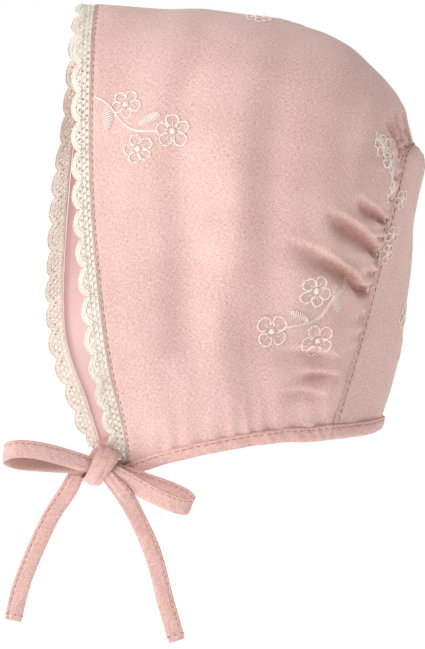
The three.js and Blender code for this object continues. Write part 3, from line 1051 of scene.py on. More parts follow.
class CrownCloth(Cloth):
    """The gathered crown: rows run from the left hem to the right, columns from face to seam."""

    U_STEPS = 379
    T_STEPS = 109

    def __init__(self, hood: HoodSurface) -> None:
        """Shapes the cloth.

        Args:
            hood: the hood's plain surface.
        """
        self.hood = hood
        self.u = np.linspace(0.0, 1.0, self.U_STEPS + 1)
        self.t = np.linspace(0.0, 1.0, self.T_STEPS + 1) ** 0.94
        super().__init__(self.u, self.t, hood.crown(self.u, self.t, HEM_TRIM))
        self.from_face, self.to_seam, self.to_hem = self.from_start, self.to_end, self.to_side
        folds, puckers = self._folds(), self._puckers()
        # painted shade: how strongly the colour is darkened in each fold valley and pucker, stored on the
        # crown panel for its material
        self.crease_shade = np.clip(-folds / 5.0, 0.0, 1.0) ** 1.3 + np.clip(-puckers / 2.5, 0.0, 0.35)
        self.press_out(self._swell() + folds + puckers + self._billow() + self._seams())

    def _swell(self) -> Array:
        """Lets the gathered cloth puff out beside the seam.

        Returns:
            The height at each grid point.
        """
        down = np.abs(self.u - 0.5)[:, None] * 2.0
        drop = 0.75 - 0.35 * (1.0 - smooth(0.16, 0.34, down))
        rise = smooth(0.3, 0.85, self.t)[None] * (1.0 - drop * smooth(0.86, 1.0, self.t)[None])
        low = 1.0 - smooth(0.9, 0.975, down)
        peak = (1.0 - smooth(0.1, 0.3, down)) * (1.0 - smooth(2.0, 16.0, self.to_seam))
        return self.hood.form.gather_height * rise * low * (1.0 - peak)

    def _folds(self) -> Array:
        """Presses the valleys in, with the low ridges beside them.

        Returns:
            The height at each grid point.
        """
        height = np.zeros(self.plain.shape[:2])
        for side, folds in ((-1.0, LEFT_FOLDS), (1.0, RIGHT_FOLDS)):
            for fold in folds:
                spots = np.array(fold.places)
                line = even(spots, np.linspace(0.0, 1.0, 26))
                u, t = 0.5 + side * line[:, 0] / 2.0, line[:, 1]
                trail = np.stack([self.hood.crown([a], [b], HEM_TRIM)[0, 0] for a, b in zip(u, t)])
                floats = 1.0 if fold.places[0][1] < 0.95 else 0.0
                near = np.nonzero(np.min(np.abs(self.u[:, None] - u), axis=1) < 0.05)[0]
                block = slice(near.min(), near.max() + 1)
                gap = np.linalg.norm(self.plain[block, :, None] - trail, axis=3)
                nearest = gap.argmin(axis=2)
                share = nearest / (len(trail) - 1.0)
                begins = 1.0 - floats * (1.0 - smooth(0.0, 0.45, share))
                strength = (1.0 - smooth(0.5, 1.0, share)) * begins
                below = side * (self.u[block, None] - u[nearest])
                lean = 0.95 + 0.4 * np.tanh(below / 0.006)
                x = gap.min(axis=2) / (fold.width * lean * (0.7 + 0.9 * share))
                closed = 0.25 + 0.75 * smooth(0.0, 3.6, self.to_seam[block])
                depth = (1.9 - 0.7 * floats) * fold.depth * closed * strength
                height[block] -= depth * (1.0 - 0.8 * x**2) * np.exp(-(x**2))
        return height

    def _puckers(self) -> Array:
        """Makes the small gathers along the seam and the binding.

        Returns:
            The height at each grid point.
        """
        phase = Noise(11)(self.from_left / 60.0, 0.0) * 5.0
        down = np.abs(self.u - 0.5)[:, None] * 2.0
        top = (1.0 - smooth(0.68, 0.84, down)) * (0.35 + 0.65 * smooth(0.03, 0.14, down))
        seam = np.sin(TAU * self.from_left / 5.2 + phase)
        seam = seam * np.exp(-((self.to_seam / 7.0) ** 1.4)) * top * 0.72
        slow = np.sin(TAU * self.from_left / 11.0 + 1.7 * phase)
        slow = slow * np.exp(-self.to_seam / 16.0) * top * 0.55
        hem_phase = Noise(12)(self.from_face / 50.0, 0.0) * 4.0
        hem = np.sin(TAU * self.from_face / 9.5 + hem_phase) * np.exp(-self.to_hem / 11.0) * 0.62
        return seam + slow + hem * smooth(0.03, 0.2, self.t)[None]

    def _billow(self) -> Array:
        """Makes the cloth's soft uneven hang.

        Returns:
            The height at each grid point.
        """
        calm = smooth(1.0, 22.0, self.from_face) * smooth(1.0, 18.0, self.to_seam)
        broad = Noise(3)(self.from_left / 95.0, self.from_face / 70.0) * 0.9
        fine = Noise(4)(self.from_left / 34.0, self.from_face / 48.0) * 0.25
        waved = self.from_face + 9.0 * np.sin(self.from_left / 62.0)
        hang = Noise(5)(self.from_left / 150.0, waved / 23.0) * 0.75
        crest = self.from_face - 42.0 - 20.0 * smooth(20.0, 110.0, self.to_hem)
        ridge = 1.5 * bell(crest / 9.0) - 1.0 * bell((crest + 19.0) / 9.0)
        ridge = ridge - 0.9 * bell((crest - 20.0) / 10.0)
        free = smooth(4.0, 22.0, self.to_hem)
        high = 1.0 - smooth(120.0, 165.0, self.to_hem)
        crest_calm = 0.25 + 0.75 * smooth(0.02, 0.16, np.abs(self.u - 0.5))[:, None]
        large = ((broad + hang) * crest_calm + ridge * high) * calm * free
        return large + fine * smooth(0.0, 8.0, self.from_face) * (0.3 + 0.7 * free)

    def _seams(self) -> Array:
        """Makes the dips at the stitched face edge and at the back seam.

        Returns:
            The height at each grid point.
        """
        groove = -0.3 * bell((self.from_face - FACE_STITCH) / 0.55)
        tug = 0.5 + 0.5 * np.cos(TAU * self.from_left / STITCH_PITCH)
        pull = -0.12 * bell((self.from_face - FACE_STITCH) / 1.1) * tug
        roll = -0.5 * bell(self.from_face / 0.45)
        sink = -1.0 * bell(self.to_seam / 1.1)
        return groove + pull + roll + sink

    def frame_at(self, u: float, t: float) -> tuple[Array, Array]:
        """Returns how u and t change for one millimetre towards the back, and one downwards.

        Args:
            u: a share from the left hem to the right hem.
            t: a share from the face edge to the seam.

        Returns:
            The two steps in (u, t).
        """
        d = 0.004
        before, after = max(t - d, 0), min(t + d, 1)
        crown = self.hood.crown
        pu = (crown([u + d], [t])[0, 0] - crown([u - d], [t])[0, 0]) / (2 * d)
        pt = (crown([u], [after])[0, 0] - crown([u], [before])[0, 0]) / (after - before)
        normal = unit(np.cross(pt, pu))
        back = unit(np.array([0.0, 1.0, 0.0]) - normal * normal[1])
        down = np.cross(normal, back) * (1.0 if u > 0.5 else -1.0)
        both = np.stack([pu, pt], axis=1)
        return np.linalg.lstsq(both, back, rcond=None)[0], np.linalg.lstsq(both, down, rcond=None)[0]


class BackCloth(Cloth):
    """The back panel: rows run from the left seam to the right, columns from the top to the hem."""

    ACROSS_STEPS = 129
    DOWN_STEPS = 139

    def __init__(self, hood: HoodSurface) -> None:
        """Shapes the cloth.

        Args:
            hood: the hood's plain surface.
        """
        self.hood = hood
        across = np.linspace(0.0, 1.0, self.ACROSS_STEPS + 1)
        down = np.linspace(0.0, 1.0, self.DOWN_STEPS + 1) ** 1.15
        super().__init__(across, down, self._rounded(hood.back(across, down, HEM_TRIM)))
        self.from_top, to_hem = self.from_start, self.to_end
        self.to_seam = np.minimum(self.to_side, self.from_top[len(across) // 2][None])
        tug = 0.5 + 0.5 * np.cos(TAU * self.from_top / STITCH_PITCH)
        past = self.to_seam - SEAM_STITCH
        height = -0.9 * bell(self.to_seam / 0.8) + 0.35 * bell((self.to_seam - 3.6) / 2.6)
        height += -0.32 * bell(past / 0.5) - 0.1 * bell(past / 1.0) * tug
        calm = smooth(1.0, 14.0, self.to_seam) * smooth(3.0, 16.0, to_hem)
        height += Noise(21)(self.from_left / 60.0, self.from_top / 75.0) * 0.8 * calm
        fine = Noise(22)(self.from_left / 17.0, self.from_top / 40.0) * 0.2
        height += fine * smooth(0.5, 5.0, self.to_seam)
        height += 0.3 * np.sin(TAU * self.from_left / 8.0 + 1.0) * np.exp(-to_hem / 7.0)
        self.press_out(height)

    def _rounded(self, plain: Array) -> Array:
        """Cuts the panel's top corner round.

        Args:
            plain: the panel's points, from seam to seam and from top to hem.

        Returns:
            The points, with the topmost of them on a curve from the seam down the back.
        """
        run = grid_run(plain, 1)
        reach = np.minimum(15.0, 0.3 * run[:, -1:])
        share = np.clip(run / reach, 0.0, 1.0)[..., None]
        lines = zip(reach[:, 0], run, plain)
        low = np.array([[np.interp(r, row, line[:, k]) for k in range(3)] for r, row, line in lines])
        mix = (1.0 - smooth(0.0, 1.0, share)) ** 0.6
        chord = plain[:, :1] * (1.0 - share) + low[:, None] * share
        return plain + (chord - plain) * mix

    def frame_at(self, across: float, down: float) -> tuple[Array, Array]:
        """Returns how across and down change for one millimetre to the right, and one downwards.

        Args:
            across: a share from the left seam to the right one.
            down: a share from the top to the hem.

        Returns:
            The two steps in (across, down).
        """
        d = 0.01
        back = self.hood.back
        pa = (back([across + d], [down])[0, 0] - back([across - d], [down])[0, 0]) / (2 * d)
        pd = (back([across], [down + d])[0, 0] - back([across], [down - d])[0, 0]) / (2 * d)
        return np.array([1.0 / np.linalg.norm(pa), 0.0]), np.array([0.0, 1.0 / np.linalg.norm(pd)])


@dataclass
class Hood:
    """The hood's cloth: both outer panels and both lining panels."""

    hood: HoodSurface
    finishes: Finishes
    shell: float = 0.9
    lining: float = 0.7
    crown_cut: tuple[float, float, float] = (0.44, 0.16, 0.058)
    back_cut: tuple[float, float, float] = (0.1, 0.13, 0.01)
    crown: CrownCloth = field(init=False)
    back: BackCloth = field(init=False)

    def __post_init__(self) -> None:
        """Shapes both outer panels."""
        self.crown = CrownCloth(self.hood)
        self.back = BackCloth(self.hood)

    def _panel(
        self,
        name: str,
        outer: Array,
        normals: Array,
        thick: float,
        uv: Array,
    ) -> Object:
        """Makes one panel of cloth.

        Args:
            name: the CAD node that it stands for.
            outer: its outer face.
            normals: the outer face's normals.
            thick: the cloth's thickness.
            uv: texture places of the outer face.

        Returns:
            The object.
        """
        inner = outer - normals * thick
        points, faces, numbers = grid_shell(outer, inner)
        both = np.concatenate([uv.reshape(-1, 2), uv.reshape(-1, 2)])[numbers]
        obj = new_mesh("cloth_" + name, points, faces, both)
        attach(obj, "root")
        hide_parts(name)
        return obj

    def build(self) -> list[Object]:
        """Makes the four panels.

        Returns:
            The two outer panels and the two lining panels.
        """
        crown, back, shell = self.crown, self.back, self.shell
        made = [self._panel("crown_panel", crown.outer, crown.out, shell, crown.uv())]
        # painted shade: the crown's fold-valley darkening, stored per vertex for the outer and the inner
        # face
        crease_shade_values = made[0].data.attributes.new("crease_shade", "FLOAT", "POINT")
        crease_shade_values.data.foreach_set("value", np.tile(crown.crease_shade.ravel(), 2).astype(np.float32))
        made.append(self._panel("back_panel", back.outer, back.out, shell, back.uv()))
        for obj in made:
            obj.data.materials.append(self.finishes.linen)
        i = np.linspace(0, crown.U_STEPS, 190).round().astype(int)
        j = np.linspace(0, crown.T_STEPS, 60).round().astype(int)
        coarse = np.ix_(i, j)
        plain, normals, face = crown.plain[coarse], crown.normals[coarse], crown.from_face[coarse]
        front = 1.0 - smooth(1.0, 12.0, face)
        ripple = Noise(31)(crown.from_left[coarse] / 40.0, face / 50.0) * 0.3
        depth = 1.75 + 0.1 * front + (ripple + 0.35) * (1.0 - front)
        depth = depth + 0.25 * bell((face - FACE_STITCH) / 0.8)
        depth = depth + 0.35 * bell(face / 0.5)
        depth = np.maximum(depth, 1.6 - crown.height[coarse])
        inner = plain - normals * depth[..., None]
        uv = crown.uv()[coarse]
        made.append(self._panel("lining_crown", inner, normals, self.lining, uv))
        steps = np.linspace(0, 1, 70)
        inset = self.hood.back(steps, steps, HEM_TRIM, first=0.01, inset=0.9)
        inner = inset - grid_normals(inset) * 1.9
        uv = np.meshgrid(np.linspace(0, 110, 70), np.linspace(0, 125, 70), indexing="ij")
        uv = np.stack(uv, axis=-1)
        made.append(self._panel("lining_back", inner, grid_normals(inset), self.lining, uv))
        for obj in made[2:]:
            obj.data.materials.append(self.finishes.lining)
        return made


# Lace


@dataclass
class LaceTrim:
    """The scalloped cotton lace round the face edge."""

    hood: HoodSurface
    finishes: Finishes
    pitch: float = 12.4
    reach: float = 8.3
    valley: float = 5.3
    tuck: float = 2.2
    stop: float = 12.9
    extend: float = 0.5
    columns: int = 36
    rows: int = 26
    thick: float = 0.55
    holes: tuple[tuple[float, float, float, float], ...] = (
        (0.04, 3.35, 0.04, 0.5), (0.27, 3.3, 0.05, 0.55), (0.5, 3.15, 0.045, 0.5),
        (0.73, 3.3, 0.05, 0.55), (0.38, 4.9, 0.05, 0.62), (0.62, 4.9, 0.05, 0.62),
        (0.17, 4.35, 0.03, 0.36), (0.83, 4.35, 0.03, 0.36), (0.5, 6.35, 0.036, 0.42),
        (0.29, 5.75, 0.026, 0.32), (0.71, 5.75, 0.026, 0.32),
    )
    count: int = field(init=False)
    edge: Array = field(init=False)
    ahead: Array = field(init=False)
    out: Array = field(init=False)

    def __post_init__(self) -> None:
        """Finds the face edge and the way the lace leaves it."""
        self.count = round((self.hood.lengths[0] - 2.0 * self.stop) / self.pitch)
        extra = self.extend / self.count
        u = np.linspace(-extra, 1.0 + extra, round((self.count + 2.0 * self.extend) * self.columns) + 1)
        near = self.hood.crown(u, np.array([0.0, 0.012]), self.stop)
        self.edge = near[:, 0]
        self.ahead = unit(near[:, 0] - near[:, 1])
        along = unit(np.gradient(self.edge, axis=0))
        self.out = unit(np.cross(along, self.ahead))

    def tip(self, place: Array) -> Array:
        """Finds how far the lace reaches in front of the cloth's edge.

        Args:
            place: places along the edge, counted in scallops.

        Returns:
            The reach at each place.
        """
        arch = np.clip(np.sin(math.pi * np.mod(place, 1.0)), 0.0, 1.0) ** 0.72
        full = self.valley + (self.reach - self.valley) * arch
        to_end = np.minimum(place, self.count - place) + self.extend
        return full * (1.0 - 0.35 * bell(to_end * self.pitch / 7.0))

    def _fan(self, place: Array, reach: Array) -> tuple[Array, Array]:
        """Finds where places lie round the foot of their scallop.

        Args:
            place: places along the edge, counted in scallops.
            reach: distances in front of the cloth's edge.

        Returns:
            Each place's turn and its distance from the foot.
        """
        aside = (np.mod(place, 1.0) - 0.5) * self.pitch
        ahead = reach - 1.6
        return np.arctan2(aside, ahead), np.hypot(aside, ahead)

    def point(self, place: Array, reach: Array, lift: Array) -> Array:
        """Returns points of the lace.

        Args:
            place: places along the edge, counted in scallops.
            reach: distances in front of the cloth's edge.
            lift: heights above the lace's middle.

        Returns:
            The points.
        """
        k = np.clip((place + self.extend) * self.columns, 0, len(self.edge) - 1.001)
        i = k.astype(int)
        w = (k - i)[..., None]
        base, ahead, out = (g[i] * (1 - w) + g[i + 1] * w for g in (self.edge, self.ahead, self.out))
        share = np.clip(reach / self.reach, 0.0, 1.2)
        flare = Noise(41)(place / 5.0, 0.0) * 1.1 + 0.5 * np.cos(TAU * place)
        side = -1.3 + flare * share**2 * 0.8 + lift
        bend = share**1.5 * Noise(42)(place / 3.0, 0.3) * 0.5
        return base + ahead * (reach + bend * 0.3)[..., None] + out * side[..., None]

    def plate(self) -> Object:
        """Makes the worked ground of the lace, with its holes.

        Returns:
            The object.
        """
        place = np.arange(len(self.edge)) / self.columns - self.extend
        share = np.linspace(0.0, 1.0, self.rows + 1)
        tip = self.tip(place)
        reach = -self.tuck + share[None] * (tip[:, None] + self.tuck)
        across = np.broadcast_to(place[:, None], reach.shape)
        spin, far = self._fan(across, reach)
        cord = 0.26 * np.sin(spin * 11.0) * np.sin(TAU * far / 1.25)
        ribs = 0.1 * np.sin(TAU * across * 15.0 + 2.0 * np.sin(reach * 2.6))
        rim = 0.2 * bell((tip[:, None] - reach - 0.5) / 0.45)
        knots = Noise(43)(across * 9.0, reach / 1.1) * 0.16
        height = cord + ribs + rim + knots
        edge_thin = 1.0 - 0.55 * bell((tip[:, None] - reach) / 0.3)
        top = self.point(across, reach, self.thick / 2.0 * edge_thin + height)
        under = self.point(across, reach, -self.thick / 2.0 * edge_thin + height * 0.3)
        mid_place = (across[:-1, :-1] + across[1:, 1:]) / 2.0
        mid_reach = (reach[:-1, :-1] + reach[1:, 1:]) / 2.0
        keep = np.ones(mid_place.shape, bool)
        heading = (np.mod(mid_place * 4.0, 1.0) - 0.5) / 4.0
        keep &= (heading / 0.046) ** 2 + ((mid_reach - 1.35) / 0.45) ** 2 > 1.0
        phase = np.mod(mid_place, 1.0)
        wobble = Noise(44)(np.floor(mid_place) * 3.7, 0.5) * 0.02
        for at, centre, half_w, half_r in self.holes:
            keep &= ((phase - at - wobble) / half_w) ** 2 + ((mid_reach - centre) / half_r) ** 2 > 1.0
        flip = slice(None, None, -1)
        points, faces, _ = grid_shell(top[:, flip], under[:, flip], keep[:, flip])
        obj = new_mesh("lace_ground", points, faces)
        obj.data.materials.append(self.finishes.lace)
        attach(obj, "root")
        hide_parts("lace_trim")
        return obj

    def cords(self) -> Object:
        """Makes the plied cords that edge the scallops and run beside the holes.

        Returns:
            The object.
        """
        fine = np.linspace(-self.extend, self.count + self.extend, self.count * 40 + 1)
        paths = []
        picot = 0.34 * np.abs(np.sin(math.pi * fine * 7.0))
        paths.append(self.point(fine, self.tip(fine) - 0.1 + picot, 0.05 + 0 * fine))
        for reach, wave, rise in ((0.6, 0.12, 0.4), (2.25, 0.25, 0.4), (4.1, 0.3, 0.36)):
            swing = wave * np.cos(TAU * fine * 4.0)
            paths.append(self.point(fine, reach + swing, rise + 0.05 * np.sin(TAU * fine * 8.0)))
        arch = np.minimum(self.tip(fine) - 1.15, 1.9 + 4.6 * np.abs(np.sin(math.pi * fine)) ** 0.8)
        paths.append(self.point(fine, arch, 0.36 + 0.06 * np.sin(TAU * fine * 11.0)))
        obj = path_object("lace_cords", paths)
        values = {"Step": 0.00042, "Radius": 0.00024, "Twist": 5200.0, "Material": self.finishes.lace}
        PliedCord().apply(obj, values)
        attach(obj, "root")
        return obj

    def build(self) -> list[Object]:
        """Makes the lace and returns its pieces."""
        return [self.plate(), self.cords()]


# The binding, the ties and the bow


@dataclass
class NeckBinding:
    """The folded bias strip that holds the neck edge."""

    hood: HoodSurface
    crown: CrownCloth
    back: BackCloth
    finishes: Finishes
    width: float = 6.4
    around: tuple[Pair, ...] = (
        (-0.25, -1.1), (-0.12, 0.1), (0.35, 0.95), (1.2, 1.4), (2.4, 1.56), (3.6, 1.5), (4.6, 1.32),
        (5.2, 1.12), (5.7, 1.22), (6.15, 1.14), (6.42, 0.8), (6.44, 0.3), (6.3, -0.4), (6.3, -2.4),
        (6.44, -2.9), (6.2, -3.3), (5.2, -3.5), (3.6, -3.8), (2.2, -3.8), (1.0, -3.5), (0.2, -2.9),
        (-0.15, -2.0),
    )
    rings: Array = field(init=False)
    outs: Array = field(init=False)

    def _hem(self, above: float) -> Array:
        """Follows the hem from its left corner over the back to its right one.

        Args:
            above: the height above the hem.

        Returns:
            The points.
        """
        t = np.linspace(0.0, 0.985, 230)
        left = self.hood.crown(np.array([0.0]), t, above)[0]
        right = self.hood.crown(np.array([1.0]), t, above)[0][::-1]
        middle = self.hood.back(np.linspace(0.03, 0.97, 130), np.array([0.0, 1.0]), above)[:, 1]
        return np.concatenate([left, middle, right])

    def _edges(self) -> tuple[Array, Array]:
        """Follows the binding's lower and upper edge.

        Returns:
            The two edges' points, at the same even steps round the hem.
        """
        low, high = self._hem(0.0), self._hem(self.width)
        run = run_along(low)
        steps = np.linspace(0.0, run[-1], 620)
        pair = []
        for edge in (low, high):
            pair.append(np.stack([np.interp(steps, run, edge[:, k]) for k in range(3)], axis=1))
        return pair[0], pair[1]

    def build(self) -> list[Object]:
        """Makes the binding.

        Returns:
            Its object.
        """
        low, high = self._edges()
        up = unit(high - low)
        along = unit(np.gradient(low, axis=0))
        out = unit(np.cross(along, up))
        up = np.cross(out, along)
        section = np.array(self.around)
        closed = np.concatenate([section[-1:], section, section[:2]])
        step = 1 / (len(closed) - 1)
        outline = catmull(closed[None], np.linspace(step, 1 - step, 45))[0][:-1]
        run = run_along(low)
        rings = low[:, None] + up[:, None] * outline[None, :, :1] + out[:, None] * outline[None, :, 1:]
        outward = out[:, None] * np.where(outline[None, :, 1:] > -1.0, 1.0, -1.0)
        w = outline[None, :, 0]
        drift = Noise(51)(run / 30.0, 0.0)[:, None] * 5.0
        pull = np.sin(TAU * (run[:, None] + 0.9 * w) / 6.3 + drift) * 0.12
        wave = Noise(52)(run[:, None] / 19.0, w / 9.0) * 0.3
        tug = -0.14 * bell((w - 5.25) / 0.5) * (0.5 + 0.5 * np.cos(TAU * run / 3.1))[:, None]
        rings = rings + outward * (pull * bell((w - 3.0) / 3.0) + wave + tug)[..., None]
        faces = tube_faces(*rings.shape[:2])
        uv = np.stack(np.broadcast_arrays(run[:, None], run_along(outline)[None]), axis=-1)
        obj = new_mesh("cloth_neck_binding", rings.reshape(-1, 3), faces, uv.reshape(-1, 2))
        obj.data.materials.append(self.finishes.binding)
        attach(obj, "root")
        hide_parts("neck_binding")
        self.rings, self.outs = rings, out
        return [obj]

    def stitch_lines(self) -> list[Array]:
        """Finds the topstitch's path.

        Returns:
            The path, beside the upper edge on the outer leg.
        """
        section = self.rings
        height = np.linalg.norm(section - section[:, :1], axis=2)
        outer = section[:, np.argmin(np.abs(height[10, :22] - 5.9))]
        return [outer[2:-2] + self.outs[2:-2] * 0.06]


@dataclass
class Strap:
    """A flat tie sewn from a folded bias strip, with a topstitch beside one edge."""

    name: str
    centres: Array
    sides: Array
    widths: Array
    thick: float = 1.7
    crimp: Array | None = None
    seed: int = 1
    stitch_side: float = 0.62
    grid: Array = field(init=False)
    face: Array = field(init=False)
    uv: Array = field(init=False)

    AROUND = 40

    def __post_init__(self) -> None:
        """Works out the strap's skin: a flattened, slightly puffed section with a stitched groove."""
        tangent = unit(np.gradient(self.centres, axis=0))
        side = unit(self.sides - tangent * np.sum(self.sides * tangent, axis=1, keepdims=True))
        self.face = np.cross(tangent, side)
        cx, cy = self._section()
        run = run_along(self.centres)
        half = self.widths[:, None] / 2.0
        x = cx[None] * half
        puff = 1.0 - 0.16 * (x / half) ** 2
        y = cy[None] * self.thick / 2.0 * puff
        groove = bell((x / half - self.stitch_side) / 0.09)
        tug = 0.72 + 0.28 * np.cos(TAU * run / 2.6)[:, None]
        y = y * (1.0 - 0.4 * groove * tug)
        wave = Noise(self.seed)(run[:, None] / 16.0, x / 9.0 + cy[None] * 0.2) * 0.16
        drift = 3.0 * Noise(self.seed + 1)(run / 25.0, 0.0)[:, None]
        pull = 0.07 * np.sin(TAU * (run[:, None] - 0.8 * x) / 4.6 + drift)
        y = y + (wave + pull) * np.abs(cy)[None]
        if self.crimp is not None:
            ridge = np.cos(x / half * math.pi * 2.4 + self.seed) * 0.42
            y = y + ridge * self.crimp[:, None] * np.sign(cy)[None] * np.abs(cy)[None]
        across = self.centres[:, None] + side[:, None] * x[..., None]
        self.grid = across + self.face[:, None] * y[..., None]
        around = np.concatenate([[0.0], np.cumsum(np.hypot(np.diff(cx * 4.0), np.diff(cy * 1.0)))])
        self.uv = np.stack(np.broadcast_arrays(run[:, None], around[None]), axis=-1)

    def _section(self) -> tuple[Array, Array]:
        """Returns the section's points, as shares of its half width and half thickness."""
        return oval(np.linspace(0.0, TAU, self.AROUND, endpoint=False), 0.55, 0.62)

    def object(self, finish: Material) -> Object:
        """Makes the strap's object.

        Args:
            finish: its material.

        Returns:
            The object.
        """
        faces = tube_faces(*self.grid.shape[:2])
        obj = new_mesh(self.name, self.grid.reshape(-1, 3), faces, self.uv.reshape(-1, 2))
        obj.data.materials.append(finish)
        return obj

    def line(self, share: float, upper: bool, lift: float = 0.03) -> Array:
        """Returns a path along one face, at a share of the half width.

        Args:
            share: from -1 to 1 across the strap.
            upper: whether it runs on the face that the strap's own face axis points to.
            lift: how far above the cloth it runs.

        Returns:
            The points.
        """
        half = self.AROUND // 2
        order = range(1, half) if upper else range(half + 1, self.AROUND)
        off = np.abs(self._section()[0] - share)
        j = min(order, key=lambda n: off[n])
        return self.grid[:, j] + self.face * (lift if upper else -lift)


@dataclass
class Bow:
    """The tied bow, its hanging ends and the two straps that lead to it."""

    hood: HoodSurface
    finishes: Finishes
    tie_width: float = 7.4
    thick: float = 1.8
    knot_width: float = 8.4
    knot_tall: float = 17.6
    knot_deep: float = 14.8
    tilt: float = 24.0
    loop_length: float = 41.0
    loop_open: float = 4.6
    root: float = 1.4
    band: float = 1.7
    stitches: list[Array] = field(default_factory=list)
    corner: Array = field(init=False)
    centre: Array = field(init=False)
    along: Array = field(init=False)
    up: Array = field(init=False)
    out: Array = field(init=False)

    def __post_init__(self) -> None:
        """Finds the knot's place and the bow's own axes."""
        self.corner = self.hood.crown(np.array([0.0]), np.array([0.0]), 0.0)[0, 0]
        self.centre = self.corner + np.array([9.0, -14.2, 5.4])
        a = math.radians(self.tilt)
        self.along = np.array([0.0, math.cos(a), -math.sin(a)])
        self.up = np.array([0.0, math.sin(a), math.cos(a)])
        self.out = np.array([1.0, 0.0, 0.0])

    def point(self, along: Array, out: Array, up: Array) -> Array:
        """Places points by the bow's own axes, from the knot's middle.

        Args:
            along: distances towards the back, along the bow.
            out: distances away from the cheek.
            up: distances up.

        Returns:
            The points.
        """
        along, out, up = np.broadcast_arrays(along, out, up)
        spot = self.centre + along[..., None] * self.along + out[..., None] * self.out
        return spot + up[..., None] * self.up

    def layer(self, number: float) -> float:
        """Returns how far out a layer of strap lies in the knot."""
        return (number - 0.5) * (self.thick + 0.42)

    def _knot(self) -> list[Object]:
        """Makes the knot's band and the wrapped cloth inside it.

        Returns:
            The two objects.
        """
        high, deep = (self.knot_tall - self.band) / 2.0, (self.knot_deep - self.band) / 2.0
        count, m = 120, 44
        angle = np.linspace(0.0, TAU, count, endpoint=False)
        around = np.linspace(0.0, TAU, m, endpoint=False)
        cx, cy = oval(around, 0.7, 0.7)
        sway = 0.7 * np.sin(angle) + 1.1 * np.clip(np.sin(angle), 0.0, 1.0) ** 2
        width = self.knot_width / 2.0 * (1.04 + 0.15 * np.sin(angle) + 0.03 * np.sin(angle * 3.0))
        x = cx[None] * width[:, None]
        share = x / width[:, None]
        dome = 0.8 * (1.0 - share**2)
        crease = -0.55 * bell((share - 0.42 + 0.2 * np.sin(angle)[:, None]) / 0.12)
        crease = crease - 0.4 * bell((share + 0.35 + 0.12 * np.sin(angle)[:, None]) / 0.14)
        crease = crease * smooth(-0.9, 0.4, np.cos(angle - 0.5))[:, None]
        crease = crease + Noise(61)(angle[:, None] * 0.8, share * 0.7) * 0.14
        top = (cy[None] > 0) * 1.0
        y = cy[None] * 0.75 + (dome + crease - 0.55) * np.abs(cy)[None] * (0.35 + 0.65 * top)
        base_out, base_up = deep * np.cos(angle), high * np.sin(angle)
        squash = 1.0 / (np.abs(np.cos(angle)) ** 2.6 + np.abs(np.sin(angle)) ** 2.6) ** (1 / 2.6)
        ring = np.stack([base_out * squash * 0.97, base_up * squash * 0.97], axis=1)
        step = np.roll(ring, -1, axis=0) - np.roll(ring, 1, axis=0)
        normal = unit(np.stack([step[:, 1], -step[:, 0]], axis=1))
        spot = ring[:, None] + normal[:, None] * y[..., None]
        grid = self.point(x + sway[:, None], spot[..., 0], spot[..., 1])
        faces = []
        for k in range(count):
            here, there = k * m, (k + 1) % count * m
            for j in range(m):
                beside = (j + 1) % m
                faces.append([here + j, there + j, there + beside, here + beside])
        run = angle * (high + deep) / 2.0
        uv = np.stack(np.broadcast_arrays(run[:, None], around[None] * 2.8), axis=-1)
        band = new_mesh("cloth_bow_knot", grid.reshape(-1, 3), faces, uv.reshape(-1, 2))
        rows, ring_count = 26, 48
        place = np.linspace(-1.0, 1.0, rows)
        turn = np.linspace(0.0, TAU, ring_count, endpoint=False)
        swell = (1.0 - np.abs(place) ** 3.2) ** 0.45
        wrap = 1.0 + 0.06 * np.sin(5.0 * turn + 0.8)[None] * (np.abs(place)[:, None] ** 2)
        square = 1.0 / (np.abs(np.cos(turn)) ** 3 + np.abs(np.sin(turn)) ** 3) ** (1 / 3)
        core_out = (deep - 1.1) * swell[:, None] * np.cos(turn)[None] * square[None] * wrap
        core_up = (high - 1.1) * swell[:, None] * np.sin(turn)[None] * square[None] * wrap
        core = self.point(place[:, None] * (self.knot_width / 2.0 - 0.5) + 0.14 * core_up, core_out, core_up)
        ids = np.arange(rows * ring_count).reshape(rows, ring_count)
        wide = np.roll(ids, -1, axis=1)
        quads = np.stack([ids[:-1], wide[:-1], wide[1:], ids[1:]], axis=-1).reshape(-1, 4).tolist()
        quads += [ids[0, ::-1].tolist(), ids[-1].tolist()]
        core_uv = np.stack(np.broadcast_arrays(place[:, None] * 5.0, turn[None] * 6.0), axis=-1)
        plug = new_mesh("cloth_knot_core", core.reshape(-1, 3), quads, core_uv.reshape(-1, 2))
        for obj in (band, plug):
            obj.data.materials.append(self.finishes.binding)
            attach(obj, "root")
        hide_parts("bow_knot")
        return [band, plug]

